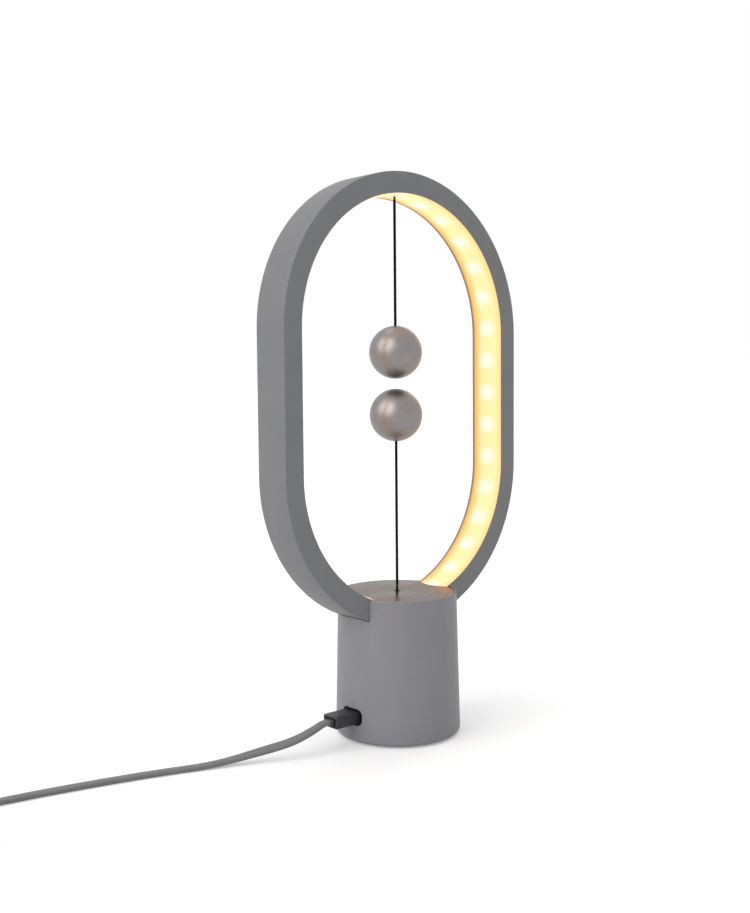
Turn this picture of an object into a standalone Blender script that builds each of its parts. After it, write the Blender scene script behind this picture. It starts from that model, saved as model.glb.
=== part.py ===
"""A magnetic balance lamp: a round base, an upright lit ring, and two balls on cords that pull at each other.

Lengths are in metres. The table is z = 0, the ring stands in the XZ plane, and the lamp's front faces -Y.
"""

import math

import bmesh
import bpy
from mathutils import Vector

# Clearances that many pieces share, and how far cutters pass the faces that they cut.
GAP = 0.0003
RUNNING = 0.0004
OVERRUN = 0.002
WELD = 0.00001
SHARP_ANGLE = math.radians(40)
QUARTER = math.radians(90)
HALF = math.radians(180)

# Ring: a stadium outline, swept as a channel that is open towards the middle.
LAMP_HEIGHT = 0.360
RING_BOTTOM = 0.0726
RING_RADIUS = 0.100
RING_THICKNESS = 0.0134
RING_DEPTH = 0.0268
RING_FLOOR = 0.0020
RING_CHEEK = 0.0024
RING_LIP = 0.0011
RING_ARC_STEPS = 30
DIFFUSER_THICKNESS = 0.0016
DIFFUSER_RECESS = 0.0002
DIFFUSER_FOOT_ANGLE = math.radians(20)

# Light strip behind the diffuser.
STRIP_THICKNESS = 0.0008
STRIP_WIDTH = 0.010
STRIP_FOOT_ANGLE = math.radians(23)
LED_SIDE = 0.0050
LED_HEIGHT = 0.0014
LED_SINK = 0.0003
LED_PITCH = 0.0220

# Base housing.
BASE_HEIGHT = 0.0925
BASE_BOTTOM_RADIUS = 0.0408
BASE_TOP_RADIUS = 0.0386
BASE_WALL = 0.0024
BASE_FOOT_ROUNDING = 0.0028
BASE_TOP_ROUNDING = 0.0004
BASE_REVEAL = 0.0010
BASE_RIM = 0.0008
DISC_LEDGE = 0.0014
DISC_THICKNESS = 0.0015
DISC_EDGE = 0.0002
ROUNDING_STEPS = 4
TURN_STEPS = 48
SMALL_TURN_STEPS = 32
BUSH_STEPS = 20
SCREW_STEPS = 12
HOLE_STEPS = 12

# Bottom cover, foot and weight.
COVER_RIM = 0.0010
COVER_THICKNESS = 0.0032
COVER_FLANGE = 0.0014
COVER_FLANGE_HEIGHT = 0.0025
FOOT_INSET = 0.0007
FOOT_WIDTH = 0.0045
FOOT_HEIGHT = 0.0019
WEIGHT_CLEARANCE = 0.0011
WEIGHT_HEIGHT = 0.0075
WEIGHT_EDGE = 0.0010

# Fasteners: a head, a shank and the holes that they pass or bite.
SCREW_RADIUS = 0.0014
SCREW_HEAD_RADIUS = 0.0027
SCREW_HEAD_HEIGHT = 0.0015
SCREW_DRIVE_RADIUS = 0.0013
SCREW_DRIVE_DEPTH = 0.0009
SCREW_BITE = 0.0060
SMALL_SCREW_RADIUS = 0.0010
SMALL_SCREW_HEAD_RADIUS = 0.0022
SMALL_SCREW_HEAD_HEIGHT = 0.0010

# Inner chassis on three posts, with a saddle that carries the ring.
POST_INSET = 0.0045
POST_WALL = 0.0015
POST_SIDES = 6
POST_ANGLES = (math.radians(90), math.radians(210), math.radians(330))
CHASSIS_CLEARANCE = 0.0008
CHASSIS_THICKNESS = 0.0040
SADDLE_HEIGHT = 0.0126
SADDLE_LENGTH = 0.0440
SADDLE_LAP = 0.0014
RING_SCREW_OFFSET = 0.0150
RIB_THICKNESS = 0.0035

# Balls and their cords.
BALL_RADIUS = 0.0170
BALL_WALL = 0.0020
BALL_LIP_HEIGHT = 0.0015
BALL_LIP_CLEARANCE = 0.0006
BALL_LIP_WALL = 0.0010
BALL_STEPS = 8
BALL_INNER_STEPS = 4
BALLS_APART = 0.0064
UPPER_BALL_DROP = 0.0992
MAGNET_RADIUS = 0.0070
MAGNET_THICKNESS = 0.0040
MAGNET_STEPS = 24
CORD_RADIUS = 0.0009
CORD_STEPS = 12
UPPER_PIVOT_DROP = 0.0012
LOWER_PIVOT_CLEARANCE = 0.0006
STOP_WALL = 0.0010
STOP_LENGTH = 0.0042
STOP_BORE_DEPTH = 0.0024
ANCHOR_RADIUS = 0.0026

# Pull switch under the ring's lowest point.
GROMMET_WALL = 0.0009
PULL_TRAVEL = 0.0015
STEM_WALL = 0.0008
STEM_RISE = 0.0005
STEM_BORE_DEPTH = 0.0060
PLUNGER_LAP = 0.0015
PLUNGER_THICKNESS = 0.0020
PLUNGER_TAIL = 0.0030
BUSH_WALL = 0.0014
BUSH_FLANGE = 0.0018
BUSH_FLANGE_THICKNESS = 0.0022
BUSH_LENGTH = 0.0080
SPRING_CLEARANCE = 0.0014
SPRING_WIRE = 0.0004
SPRING_TURNS = 5
SPRING_POINTS_PER_TURN = 10
SWITCH_LENGTH = 0.0200
SWITCH_WIDTH = 0.0064
SWITCH_HEIGHT = 0.0100
SWITCH_CLEARANCE = 0.0025
SWITCH_EDGE = 0.0005
SWITCH_SCREW_SPACING = 0.0095
SWITCH_SCREW_DROP = 0.0035
BUTTON_RADIUS = 0.0008
BUTTON_LENGTH = 0.0025
BUTTON_SHOW = 0.0007
BUTTON_PLACE_SHARE = 0.4
LEVER_THICKNESS = 0.0004
LEVER_WIDTH = 0.0042
LEVER_ARM_WIDTH = 0.0040
LEVER_ROLL_RADIUS = 0.0009
LEVER_CLEARANCE = 0.0008
LEVER_PIVOT_INSET = 0.0020

# Control board, its socket and the opening in the housing's side.
BOARD_LENGTH = 0.0240
BOARD_THICKNESS = 0.0016
BOARD_CLEARANCE = 0.0014
BOARD_LIFT = 0.0020
BOSS_WALL = 0.0011
BOARD_SCREW_EDGE = 0.0030
BOARD_SCREW_INSET = 0.0120
SOCKET_LENGTH = 0.0056
SOCKET_WIDTH = 0.0080
SOCKET_HEIGHT = 0.0029
SOCKET_SHELL = 0.0004
SOCKET_OVERHANG = 0.0008
TONGUE_THICKNESS = 0.0004
TONGUE_SIDE = 0.0012
OPENING_SIDE_MARGIN = 0.0025
OPENING_TOP_MARGIN = 0.0016
OPENING_CORNER = 0.0040
OPENING_CORNER_STEPS = 4
SURROUND_LAP = 0.0020
SURROUND_THICKNESS = 0.0025

# Plug, flat cable and the plug at its far end.
PLUG_LENGTH = 0.0229
PLUG_WIDTH = 0.0130
PLUG_HEIGHT = 0.0075
PLUG_EDGE = 0.0008
POCKET_SIDE_MARGIN = 0.0020
POCKET_TOP_MARGIN = 0.00135
POCKET_DEPTH = 0.0014
COLLAR_CLEARANCE = 0.0007
COLLAR_REACH = 0.0015
TIP_CLEARANCE = 0.00025
TIP_END_CLEARANCE = 0.0007
TIP_WALL = 0.0003
CABLE_WIDTH = 0.0065
CABLE_THICKNESS = 0.0028
CABLE_CORNER_STEPS = 3
CABLE_LIFT = 0.0002
CABLE_AIR_ROLL = math.radians(22)
CABLE_LANDING = -0.1300
CABLE_STANDING_UP = (-0.2420, -0.3120)
COIL_CENTRE = (-0.3240, 0.0180)
COIL_OUTER_RADIUS = 0.0420
COIL_PITCH = 0.0050
COIL_TURNS = 3
COIL_LAYER_GAP = 0.0007
COIL_POINTS_PER_TURN = 24
CABLE_END_LENGTH = 0.0500
CABLE_END_SHARES = ((0.40, 0.25), (0.70, 0.80))
CABLE_END_ROLL_SHARES = (0.19, 0.81)
FAR_PLUG_LENGTH = 0.0240
FAR_PLUG_WIDTH = 0.0160
FAR_PLUG_HEIGHT = 0.0080
FAR_PLUG_EDGE = 0.0015
FAR_SHELL_LENGTH = 0.0187
FAR_SHELL_WIDTH = 0.0120
FAR_SHELL_HEIGHT = 0.0045
FAR_SHELL_WALL = 0.0003
FAR_TONGUE_HEIGHT = 0.0018

# Leads inside the lamp. The shares place a lead's bends between the pieces that it passes.
LEAD_RADIUS = 0.0005
LEAD_STEP = 0.0045
LEAD_SPACING = 0.0014
LEAD_ROW = 0.0078
LEAD_HOLE_OFFSET = 0.0095
LEAD_HOLE_RADIUS = 0.0018
LEAD_BOARD_INSET = 0.00275
CHANNEL_FOOT_SHARES = ((0.85, 0.1), (0.60, 0.8))
CHANNEL_WAY_SHARES = (1.7, 1.1)
LED_DROP_SHARES = (0.8, 1.2)
LED_MIDDLE_SHARES = (1.3, 0.38)
LED_END_SHARES = (0.9, 0.6)
SWITCH_LEAD_SHARE = 0.6
SWITCH_BEND_SHARES = (0.3, 0.73)
SWITCH_MIDDLE_SHARES = (1.0, 0.25)
SWITCH_END_SHARES = (0.7, 0.5)

# Places that follow from the sizes above, of the ring and its light.
RING_STRAIGHT = LAMP_HEIGHT - RING_BOTTOM - 2 * RING_RADIUS
RING_INNER_RADIUS = RING_RADIUS - RING_THICKNESS
RING_LOW_CENTRE = RING_BOTTOM + RING_RADIUS
RING_INNER_TOP = LAMP_HEIGHT - RING_THICKNESS
DIFFUSER_INNER_RADIUS = RING_INNER_RADIUS + DIFFUSER_RECESS
DIFFUSER_OUTER_RADIUS = DIFFUSER_INNER_RADIUS + DIFFUSER_THICKNESS
STRIP_OUTER_RADIUS = RING_RADIUS - RING_FLOOR - GAP
STRIP_INNER_RADIUS = STRIP_OUTER_RADIUS - STRIP_THICKNESS

# Of the base, from the table up.
BASE_LEAN = (BASE_BOTTOM_RADIUS - BASE_TOP_RADIUS) / BASE_HEIGHT
LEDGE_HEIGHT = BASE_HEIGHT - DISC_THICKNESS - GAP
DISC_RADIUS = BASE_TOP_RADIUS - BASE_RIM - GAP
COVER_SEAT_RADIUS = BASE_BOTTOM_RADIUS - BASE_FOOT_ROUNDING - COVER_RIM
COVER_RADIUS = COVER_SEAT_RADIUS - GAP
COVER_TOP = BASE_REVEAL + COVER_THICKNESS
FOOT_OUTER_RADIUS = COVER_RADIUS - FOOT_INSET
FOOT_INNER_RADIUS = FOOT_OUTER_RADIUS - FOOT_WIDTH
FLANGE_RADIUS = COVER_SEAT_RADIUS - COVER_FLANGE
WEIGHT_BOTTOM = COVER_TOP + GAP
WEIGHT_TOP = WEIGHT_BOTTOM + WEIGHT_HEIGHT
SCREW_HOLE_RADIUS = SCREW_RADIUS + GAP
POST_CIRCLE = FOOT_INNER_RADIUS - POST_INSET
POST_RADIUS = SCREW_HOLE_RADIUS + POST_WALL
CHASSIS_TOP = RING_BOTTOM - SADDLE_HEIGHT
CHASSIS_BOTTOM = CHASSIS_TOP - CHASSIS_THICKNESS
SADDLE_TOP = RING_BOTTOM + SADDLE_LAP
SADDLE_WIDTH = 2 * (POST_CIRCLE * abs(math.sin(POST_ANGLES[1])) - SCREW_HEAD_RADIUS - GAP)
POST_BOTTOM = WEIGHT_TOP + GAP
POST_TOP = CHASSIS_BOTTOM - GAP

# Of the balls and the pull switch.
CORD_HOLE_RADIUS = CORD_RADIUS + GAP
GROMMET_BORE = CORD_RADIUS + RUNNING
GROMMET_RADIUS = GROMMET_BORE + GROMMET_WALL
STOP_RADIUS = CORD_HOLE_RADIUS + STOP_WALL
BALL_INNER_RADIUS = BALL_RADIUS - BALL_WALL
UPPER_BALL_HEIGHT = RING_INNER_TOP - UPPER_BALL_DROP
LOWER_BALL_HEIGHT = UPPER_BALL_HEIGHT - 2 * BALL_RADIUS - BALLS_APART
UPPER_PIVOT = RING_INNER_TOP - UPPER_PIVOT_DROP
LOWER_PIVOT = BASE_HEIGHT + PULL_TRAVEL + CORD_RADIUS + LOWER_PIVOT_CLEARANCE
STEM_RADIUS = CORD_HOLE_RADIUS + STEM_WALL
STEM_TOP = CHASSIS_BOTTOM + BUSH_LENGTH + PULL_TRAVEL + STEM_RISE
STEM_BORE_BOTTOM = STEM_TOP - STEM_BORE_DEPTH
BUSH_BORE = STEM_RADIUS + RUNNING
BUSH_RADIUS = BUSH_BORE + BUSH_WALL
BUSH_FLANGE_RADIUS = BUSH_RADIUS + BUSH_FLANGE
BUSH_FLANGE_TOP = CHASSIS_BOTTOM - GAP
BUSH_FLANGE_BOTTOM = BUSH_FLANGE_TOP - BUSH_FLANGE_THICKNESS
SPRING_RADIUS = STEM_RADIUS + SPRING_CLEARANCE + SPRING_WIRE
LEVER_TIP = SPRING_RADIUS + SPRING_WIRE + LEVER_CLEARANCE
PLUNGER_RADIUS = LEVER_TIP + PLUNGER_LAP
SWITCH_TOP = CHASSIS_BOTTOM - GAP
SWITCH_BOTTOM = SWITCH_TOP - SWITCH_HEIGHT
SWITCH_START = PLUNGER_RADIUS + SWITCH_CLEARANCE
SWITCH_END = SWITCH_START + SWITCH_LENGTH
SWITCH_MIDDLE = (SWITCH_START + SWITCH_END) / 2
LEVER_PIVOT_X = SWITCH_END - LEVER_PIVOT_INSET
LEVER_HEIGHT = SWITCH_BOTTOM - GAP - LEVER_ROLL_RADIUS
PLUNGER_TOP = LEVER_HEIGHT - LEVER_THICKNESS / 2 - GAP
BUTTON_X = LEVER_PIVOT_X - (LEVER_PIVOT_X - LEVER_TIP) * BUTTON_PLACE_SHARE

# Of the board, the socket, the plug and the cable.
BOARD_BOTTOM = WEIGHT_TOP + BOARD_LIFT
BOARD_TOP = BOARD_BOTTOM + BOARD_THICKNESS
BOARD_WIDTH = 2 * (POST_CIRCLE * abs(math.sin(POST_ANGLES[1])) - POST_RADIUS - GAP)
BOARD_SCREW_SPACING = BOARD_WIDTH - 2 * BOARD_SCREW_EDGE
BOSS_RADIUS = SCREW_HOLE_RADIUS + BOSS_WALL
SOCKET_AXIS = BOARD_TOP + GAP + SOCKET_HEIGHT / 2
WALL_AT_SOCKET = BASE_BOTTOM_RADIUS - BASE_LEAN * SOCKET_AXIS
SURROUND_BACK = WALL_AT_SOCKET - BASE_WALL - SURROUND_THICKNESS
WEIGHT_RADIUS = min(FLANGE_RADIUS, SURROUND_BACK) - WEIGHT_CLEARANCE
BOARD_START = SURROUND_BACK - BOARD_CLEARANCE
SOCKET_FRONT = BOARD_START + SOCKET_OVERHANG
PLUG_FRONT = SOCKET_FRONT + GAP
PLUG_END = PLUG_FRONT + PLUG_LENGTH
OPENING_WIDTH = PLUG_WIDTH + 2 * OPENING_SIDE_MARGIN
OPENING_HEIGHT = PLUG_HEIGHT + 2 * OPENING_TOP_MARGIN
SURROUND_WIDTH = OPENING_WIDTH + 2 * SURROUND_LAP
SURROUND_HEIGHT = OPENING_HEIGHT + 2 * SURROUND_LAP
POCKET_WIDTH = CABLE_WIDTH + 2 * POCKET_SIDE_MARGIN
POCKET_HEIGHT = CABLE_THICKNESS + 2 * POCKET_TOP_MARGIN
COLLAR_WIDTH = POCKET_WIDTH - 2 * COLLAR_CLEARANCE
COLLAR_HEIGHT = POCKET_HEIGHT - 2 * COLLAR_CLEARANCE
SOCKET_BORE_WIDTH = SOCKET_WIDTH - 2 * SOCKET_SHELL
SOCKET_BORE_HEIGHT = SOCKET_HEIGHT - 2 * SOCKET_SHELL
TIP_LENGTH = SOCKET_LENGTH - SOCKET_SHELL - TIP_END_CLEARANCE
TIP_WIDTH = SOCKET_BORE_WIDTH - 2 * TIP_CLEARANCE
TIP_HEIGHT = SOCKET_BORE_HEIGHT - 2 * TIP_CLEARANCE
COIL_LOW_HEIGHT = CABLE_WIDTH / 2 + CABLE_LIFT
COIL_HIGH_HEIGHT = COIL_LOW_HEIGHT + CABLE_WIDTH + COIL_LAYER_GAP
FAR_PLUG_AXIS = FAR_PLUG_HEIGHT / 2 + CABLE_LIFT

# The cable's route, chosen by hand: down from the plug, along the table and out of view.
CABLE_ROUTE = (
    (-0.0755, 0.0012, 0.0131),
    (-0.0865, 0.0040, 0.0098),
    (-0.0985, 0.0090, 0.0072),
    (-0.1105, 0.0142, 0.0049),
    (-0.1230, 0.0192, 0.0029),
    (-0.1400, 0.0255, 0.0016),
    (-0.1650, 0.0340, 0.0016),
    (-0.1900, 0.0410, 0.0016),
    (-0.2200, 0.0482, 0.0016),
    (-0.2500, 0.0538, 0.0016),
    (-0.2800, 0.0580, 0.0026),
    (-0.2980, 0.0598, 0.0034),
)

PARTS = None
CUTTERS = None


def clear_scene():
    for obj in list(bpy.data.objects):
        bpy.data.objects.remove(obj, do_unlink=True)


def new_collection(name, hidden=False):
    made = bpy.data.collections.new(name)
    bpy.context.scene.collection.children.link(made)
    made.hide_render = hidden
    return made


def material(name, color, roughness, metallic=0.0):
    made = bpy.data.materials.get(name)
    if made:
        return made
    made = bpy.data.materials.new(name)
    made.use_nodes = True
    shader = made.node_tree.nodes["Principled BSDF"]
    shader.inputs["Base Color"].default_value = (*color, 1.0)
    shader.inputs["Roughness"].default_value = roughness
    shader.inputs["Metallic"].default_value = metallic
    made.diffuse_color = (*color, 1.0)
    return made


def painted_grey():
    return material("painted_grey", (0.225, 0.225, 0.245), 0.55)


def brushed_metal():
    return material("brushed_metal", (0.42, 0.39, 0.38), 0.32, 1.0)


def steel():
    return material("steel", (0.55, 0.55, 0.56), 0.3, 1.0)


def brass():
    return material("brass", (0.70, 0.52, 0.25), 0.35, 1.0)


def cast_iron():
    return material("cast_iron", (0.12, 0.12, 0.13), 0.7, 1.0)


def magnet_metal():
    return material("magnet_metal", (0.62, 0.62, 0.64), 0.2, 1.0)


def black_cord():
    return material("black_cord", (0.010, 0.010, 0.011), 0.85)


def black_plastic():
    return material("black_plastic", (0.020, 0.020, 0.022), 0.5)


def plug_plastic():
    return material("plug_plastic", (0.035, 0.035, 0.040), 0.5)


def cable_plastic():
    return material("cable_plastic", (0.165, 0.165, 0.175), 0.55)


def chassis_plastic():
    return material("chassis_plastic", (0.55, 0.55, 0.55), 0.5)


def black_rubber():
    return material("black_rubber", (0.018, 0.018, 0.018), 0.9)


def warm_diffuser():
    return material("warm_diffuser", (0.98, 0.85, 0.55), 0.45)


def board_green():
    return material("board_green", (0.02, 0.16, 0.06), 0.4)


def lead_red():
    return material("lead_red", (0.45, 0.02, 0.02), 0.5)


def lead_black():
    return material("lead_black", (0.015, 0.015, 0.015), 0.5)


def place(obj, location=(0, 0, 0), turn=(0, 0, 0)):
    obj.location = location
    obj.rotation_euler = turn
    return obj


def add_mesh(name, mesh, look, cutter=False):
    """An object from a mesh, in the parts or, as a cutter, among the hidden helpers."""
    obj = bpy.data.objects.new(name, mesh)
    if cutter:
        CUTTERS.objects.link(obj)
        obj.hide_render = True
        obj.display_type = "WIRE"
    else:
        PARTS.objects.link(obj)
        mesh.materials.append(look)
    return obj


def mesh_from(name, build):
    made = bmesh.new()
    build(made)
    mesh = bpy.data.meshes.new(name)
    made.to_mesh(mesh)
    made.free()
    return mesh


def box(name, size, look=None, edge=0.0, cutter=False, segments=2):
    """A box centred on its origin, with all its edges rounded by edge."""

    def build(made):
        bmesh.ops.create_cube(made, size=1)
        bmesh.ops.scale(made, vec=Vector(size), verts=made.verts)

    obj = add_mesh(name, mesh_from(name, build), look, cutter)
    if edge:
        soften(obj, edge, segments)
    return obj


def soften(obj, edge, segments=2):
    rounding = obj.modifiers.new("Rounding", "BEVEL")
    rounding.width = edge
    rounding.segments = segments
    rounding.limit_method = "ANGLE"


def cylinder(name, radius, length, look=None, cutter=False, sides=HOLE_STEPS):
    """A cylinder along Z, centred on its origin."""

    def build(made):
        bmesh.ops.create_cone(
            made, cap_ends=True, segments=sides, radius1=radius, radius2=radius, depth=length
        )

    obj = add_mesh(name, mesh_from(name, build), look, cutter)
    shade(obj)
    return obj


def shade(obj):
    obj.data.shade_smooth()
    obj.data.set_sharp_from_angle(angle=SHARP_ANGLE)


def turned(name, profile, look=None, closed=False, steps=TURN_STEPS, cutter=False):
    """A profile of (radius, height) points, top to bottom down its outer side, turned about Z."""
    mesh = bpy.data.meshes.new(name)
    points = [(radius, 0, height) for radius, height in profile]
    edges = [(i, i + 1) for i in range(len(points) - 1)]
    if closed:
        edges.append((len(points) - 1, 0))
    mesh.from_pydata(points, edges, [])
    obj = add_mesh(name, mesh, look, cutter)
    screw = obj.modifiers.new("Turn", "SCREW")
    screw.axis = "Z"
    screw.steps = steps
    screw.render_steps = steps
    screw.use_merge_vertices = True
    screw.merge_threshold = WELD
    screw.use_smooth_shade = True
    return obj


def mesh_of_curve(name, curve_object):
    """The mesh that a curve makes, with its caps welded; the curve goes."""
    bpy.context.view_layer.update()
    graph = bpy.context.evaluated_depsgraph_get()
    mesh = bpy.data.meshes.new_from_object(curve_object.evaluated_get(graph))
    made = bmesh.new()
    made.from_mesh(mesh)
    bmesh.ops.remove_doubles(made, verts=made.verts, dist=WELD)
    bmesh.ops.recalc_face_normals(made, faces=made.faces)
    made.to_mesh(mesh)
    made.free()
    mesh.name = name
    curve = curve_object.data
    bpy.data.objects.remove(curve_object)
    bpy.data.curves.remove(curve)
    return mesh


def sheet(name, outlines, depth, look=None, cutter=False):
    """Closed outlines of (x, z) points, filled and thickened by depth along Y, about Y = 0."""
    curve = bpy.data.curves.new(name + "_outline", "CURVE")
    curve.dimensions = "2D"
    curve.fill_mode = "BOTH"
    curve.extrude = depth / 2
    for outline in outlines:
        spline = curve.splines.new("POLY")
        spline.points.add(len(outline) - 1)
        for point, (x, z) in zip(spline.points, outline):
            point.co = (x, z, 0, 1)
        spline.use_cyclic_u = True
    flat = bpy.data.objects.new(name + "_outline", curve)
    bpy.context.scene.collection.objects.link(flat)
    mesh = mesh_of_curve(name, flat)
    obj = add_mesh(name, mesh, look, cutter)
    shade(obj)
    obj.rotation_euler = (QUARTER, 0, 0)
    return obj


def cut(obj, cutter, operation="DIFFERENCE"):
    boolean = obj.modifiers.new(cutter.name, "BOOLEAN")
    boolean.object = cutter
    boolean.operation = operation
    boolean.solver = "EXACT"


def smooth_route(points, step):
    """Points about step apart on a smooth curve through the route's own points."""
    route = [Vector(point) for point in points]
    ends = [2 * route[0] - route[1], *route, 2 * route[-1] - route[-2]]
    placed = [route[0]]
    for before, start, end, after in zip(ends, ends[1:], ends[2:], ends[3:]):
        pieces = max(1, round((end - start).length / step))
        for i in range(1, pieces + 1):
            placed.append(between(before, start, end, after, i / pieces))
    return placed


def between(before, start, end, after, share):
    """A point between start and end, on the curve that passes through all four."""
    leave = (end - before) / 2
    arrive = (after - start) / 2
    square = share * share
    cube = square * share
    return (
        start * (2 * cube - 3 * square + 1)
        + leave * (cube - 2 * square + share)
        + end * (3 * square - 2 * cube)
        + arrive * (cube - square)
    )


def tube(name, points, radius, look, resolution=2):
    curve = bpy.data.curves.new(name, "CURVE")
    curve.dimensions = "3D"
    curve.bevel_depth = radius
    curve.bevel_resolution = resolution
    curve.use_fill_caps = True
    spline = curve.splines.new("POLY")
    spline.points.add(len(points) - 1)
    for point, spot in zip(spline.points, points):
        point.co = (*spot, 1)
    curve.materials.append(look)
    obj = bpy.data.objects.new(name, curve)
    PARTS.objects.link(obj)
    return obj


def stadium(radius):
    """The ring's closed outline at a radius, with its lower arc's centre at the origin."""
    steps = range(RING_ARC_STEPS + 1)
    turn = math.pi / RING_ARC_STEPS
    bottom = [(-radius * math.cos(i * turn), -radius * math.sin(i * turn)) for i in steps]
    top = [(radius * math.cos(i * turn), RING_STRAIGHT + radius * math.sin(i * turn)) for i in steps]
    return bottom + top


def open_arch(radius, foot_angle):
    """The ring's outline from its right foot over the top to its left foot, foot_angle from straight down."""
    first = foot_angle - QUARTER
    steps = max(2, round(RING_ARC_STEPS * (0 - first) / math.pi))
    right = [
        (radius * math.cos(first * (1 - i / steps)), radius * math.sin(first * (1 - i / steps)))
        for i in range(steps + 1)
    ]
    turn = math.pi / RING_ARC_STEPS
    top = [
        (radius * math.cos(i * turn), RING_STRAIGHT + radius * math.sin(i * turn))
        for i in range(RING_ARC_STEPS + 1)
    ]
    left = [(-x, z) for x, z in reversed(right)]
    return right + top + left


def ring_band(name, outer_radius, inner_radius, depth, look=None, cutter=False):
    band = sheet(name, (stadium(outer_radius), stadium(inner_radius)), depth, look, cutter)
    band.location = (0, 0, RING_LOW_CENTRE)
    return band


def arch_band(name, outer_radius, inner_radius, foot_angle, depth, look):
    outline = open_arch(outer_radius, foot_angle) + open_arch(inner_radius, foot_angle)[::-1]
    band = sheet(name, (outline,), depth, look)
    band.location = (0, 0, RING_LOW_CENTRE)
    return band


def on_arch(distance, radius):
    """A place and slope on the ring, at a distance along it from the top's middle, to the right."""
    side = 1 if distance >= 0 else -1
    along = abs(distance)
    quarter = radius * QUARTER
    if along <= quarter:
        angle = along / radius
        return side * radius * math.sin(angle), RING_STRAIGHT + radius * math.cos(angle), side * angle
    along -= quarter
    if along <= RING_STRAIGHT:
        return side * radius, RING_STRAIGHT - along, side * QUARTER
    angle = (along - RING_STRAIGHT) / radius
    return side * radius * math.cos(angle), -radius * math.sin(angle), side * (QUARTER + angle)


def arch_length(radius, foot_angle):
    return 2 * (radius * QUARTER + RING_STRAIGHT + radius * (QUARTER - foot_angle))


def hole(target, name, radius, low, high, x=0.0, y=0.0, sides=HOLE_STEPS):
    """An upright round hole in target, from low to high."""
    drill = cylinder(name, radius, high - low, cutter=True, sides=sides)
    place(drill, (x, y, (low + high) / 2))
    cut(target, drill)
    return drill


def ring_envelope():
    """The space that the ring takes, with its clearance."""
    outer = RING_RADIUS + GAP
    inner = RING_INNER_RADIUS - GAP
    return ring_band("ring_space", outer, inner, RING_DEPTH + 2 * GAP, cutter=True)


def swept_ring(name, profile, look):
    """A closed profile of (radius, y) points, taken once round the ring's outline."""
    rows = [[(x, y, z) for x, z in stadium(radius)] for radius, y in profile]

    def build(made):
        lines = [[made.verts.new(point) for point in row] for row in rows]
        for line, beside in zip(lines, lines[1:] + lines[:1]):
            for i in range(len(line)):
                made.faces.new((line[i - 1], line[i], beside[i], beside[i - 1]))
        bmesh.ops.recalc_face_normals(made, faces=made.faces)

    band = add_mesh(name, mesh_from(name, build), look)
    shade(band)
    band.location = (0, 0, RING_LOW_CENTRE)
    return band


def build_ring():
    """The ring: a channel open inward, with a step at each lip for the diffuser."""
    half = RING_DEPTH / 2
    channel = RING_RADIUS - RING_FLOOR
    rabbet = DIFFUSER_OUTER_RADIUS + GAP
    front = (
        (RING_RADIUS, half),
        (RING_INNER_RADIUS, half),
        (RING_INNER_RADIUS, half - RING_LIP),
        (rabbet, half - RING_LIP),
        (rabbet, half - RING_CHEEK),
        (channel, half - RING_CHEEK),
    )
    back = tuple((radius, -y) for radius, y in reversed(front))
    frame = swept_ring("ring_frame", front + back, painted_grey())
    low = RING_BOTTOM - OVERRUN
    high = RING_BOTTOM + RING_FLOOR + OVERRUN
    hole(frame, "pull_cord_way", CORD_HOLE_RADIUS + RUNNING, low, high)
    hole(frame, "lead_way", LEAD_HOLE_RADIUS, low, high, x=LEAD_HOLE_OFFSET, y=-LEAD_ROW)
    for side in (-1, 1):
        drill = cylinder(f"ring_screw_way_{side}", SCREW_HOLE_RADIUS, RING_FLOOR + 2 * OVERRUN, cutter=True)
        seat_on_ring(drill, side * ring_screw_angle(), RING_RADIUS - RING_FLOOR / 2)
        cut(frame, drill)


def ring_screw_angle():
    return math.asin(RING_SCREW_OFFSET / RING_RADIUS)


def seat_on_ring(obj, angle, radius):
    """Puts an upright piece on the ring's lower arc, square to it, at an angle from straight down."""
    place(
        obj,
        (radius * math.sin(angle), 0, RING_LOW_CENTRE - radius * math.cos(angle)),
        (0, -angle, 0),
    )


def build_diffuser():
    width = RING_DEPTH - 2 * RING_LIP - 2 * GAP
    strip = arch_band(
        "diffuser", DIFFUSER_OUTER_RADIUS, DIFFUSER_INNER_RADIUS, DIFFUSER_FOOT_ANGLE, width, warm_diffuser()
    )
    low = RING_INNER_TOP - OVERRUN
    high = RING_INNER_TOP + DIFFUSER_RECESS + DIFFUSER_THICKNESS + OVERRUN
    hole(strip, "anchor_way_diffuser", ANCHOR_RADIUS + GAP, low, high)


def build_light_strip():
    strip = arch_band(
        "led_strip", STRIP_OUTER_RADIUS, STRIP_INNER_RADIUS, STRIP_FOOT_ANGLE, STRIP_WIDTH, chassis_plastic()
    )
    half = arch_length(STRIP_INNER_RADIUS, STRIP_FOOT_ANGLE) / 2 - LED_SIDE
    count = math.floor(half / LED_PITCH + 0.5)
    light_radius = STRIP_INNER_RADIUS - (LED_HEIGHT - LED_SINK) / 2
    lights = bpy.data.collections.new("light_bumps")
    CUTTERS.children.link(lights)
    for side in (-1, 1):
        for i in range(count):
            x, z, slope = on_arch(side * (i + 0.5) * LED_PITCH, light_radius)
            light = box(f"light_{side}_{i}", (LED_SIDE, LED_SIDE, LED_HEIGHT + LED_SINK), cutter=True)
            CUTTERS.objects.unlink(light)
            lights.objects.link(light)
            place(light, (x, 0, RING_LOW_CENTRE + z), (0, slope, 0))
    union = strip.modifiers.new("Lights", "BOOLEAN")
    union.operation = "UNION"
    union.operand_type = "COLLECTION"
    union.collection = lights
    union.solver = "EXACT"
    low = STRIP_INNER_RADIUS + RING_LOW_CENTRE + RING_STRAIGHT - OVERRUN
    hole(strip, "anchor_way_strip", ANCHOR_RADIUS + GAP, low, low + STRIP_THICKNESS + 2 * OVERRUN)


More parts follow.
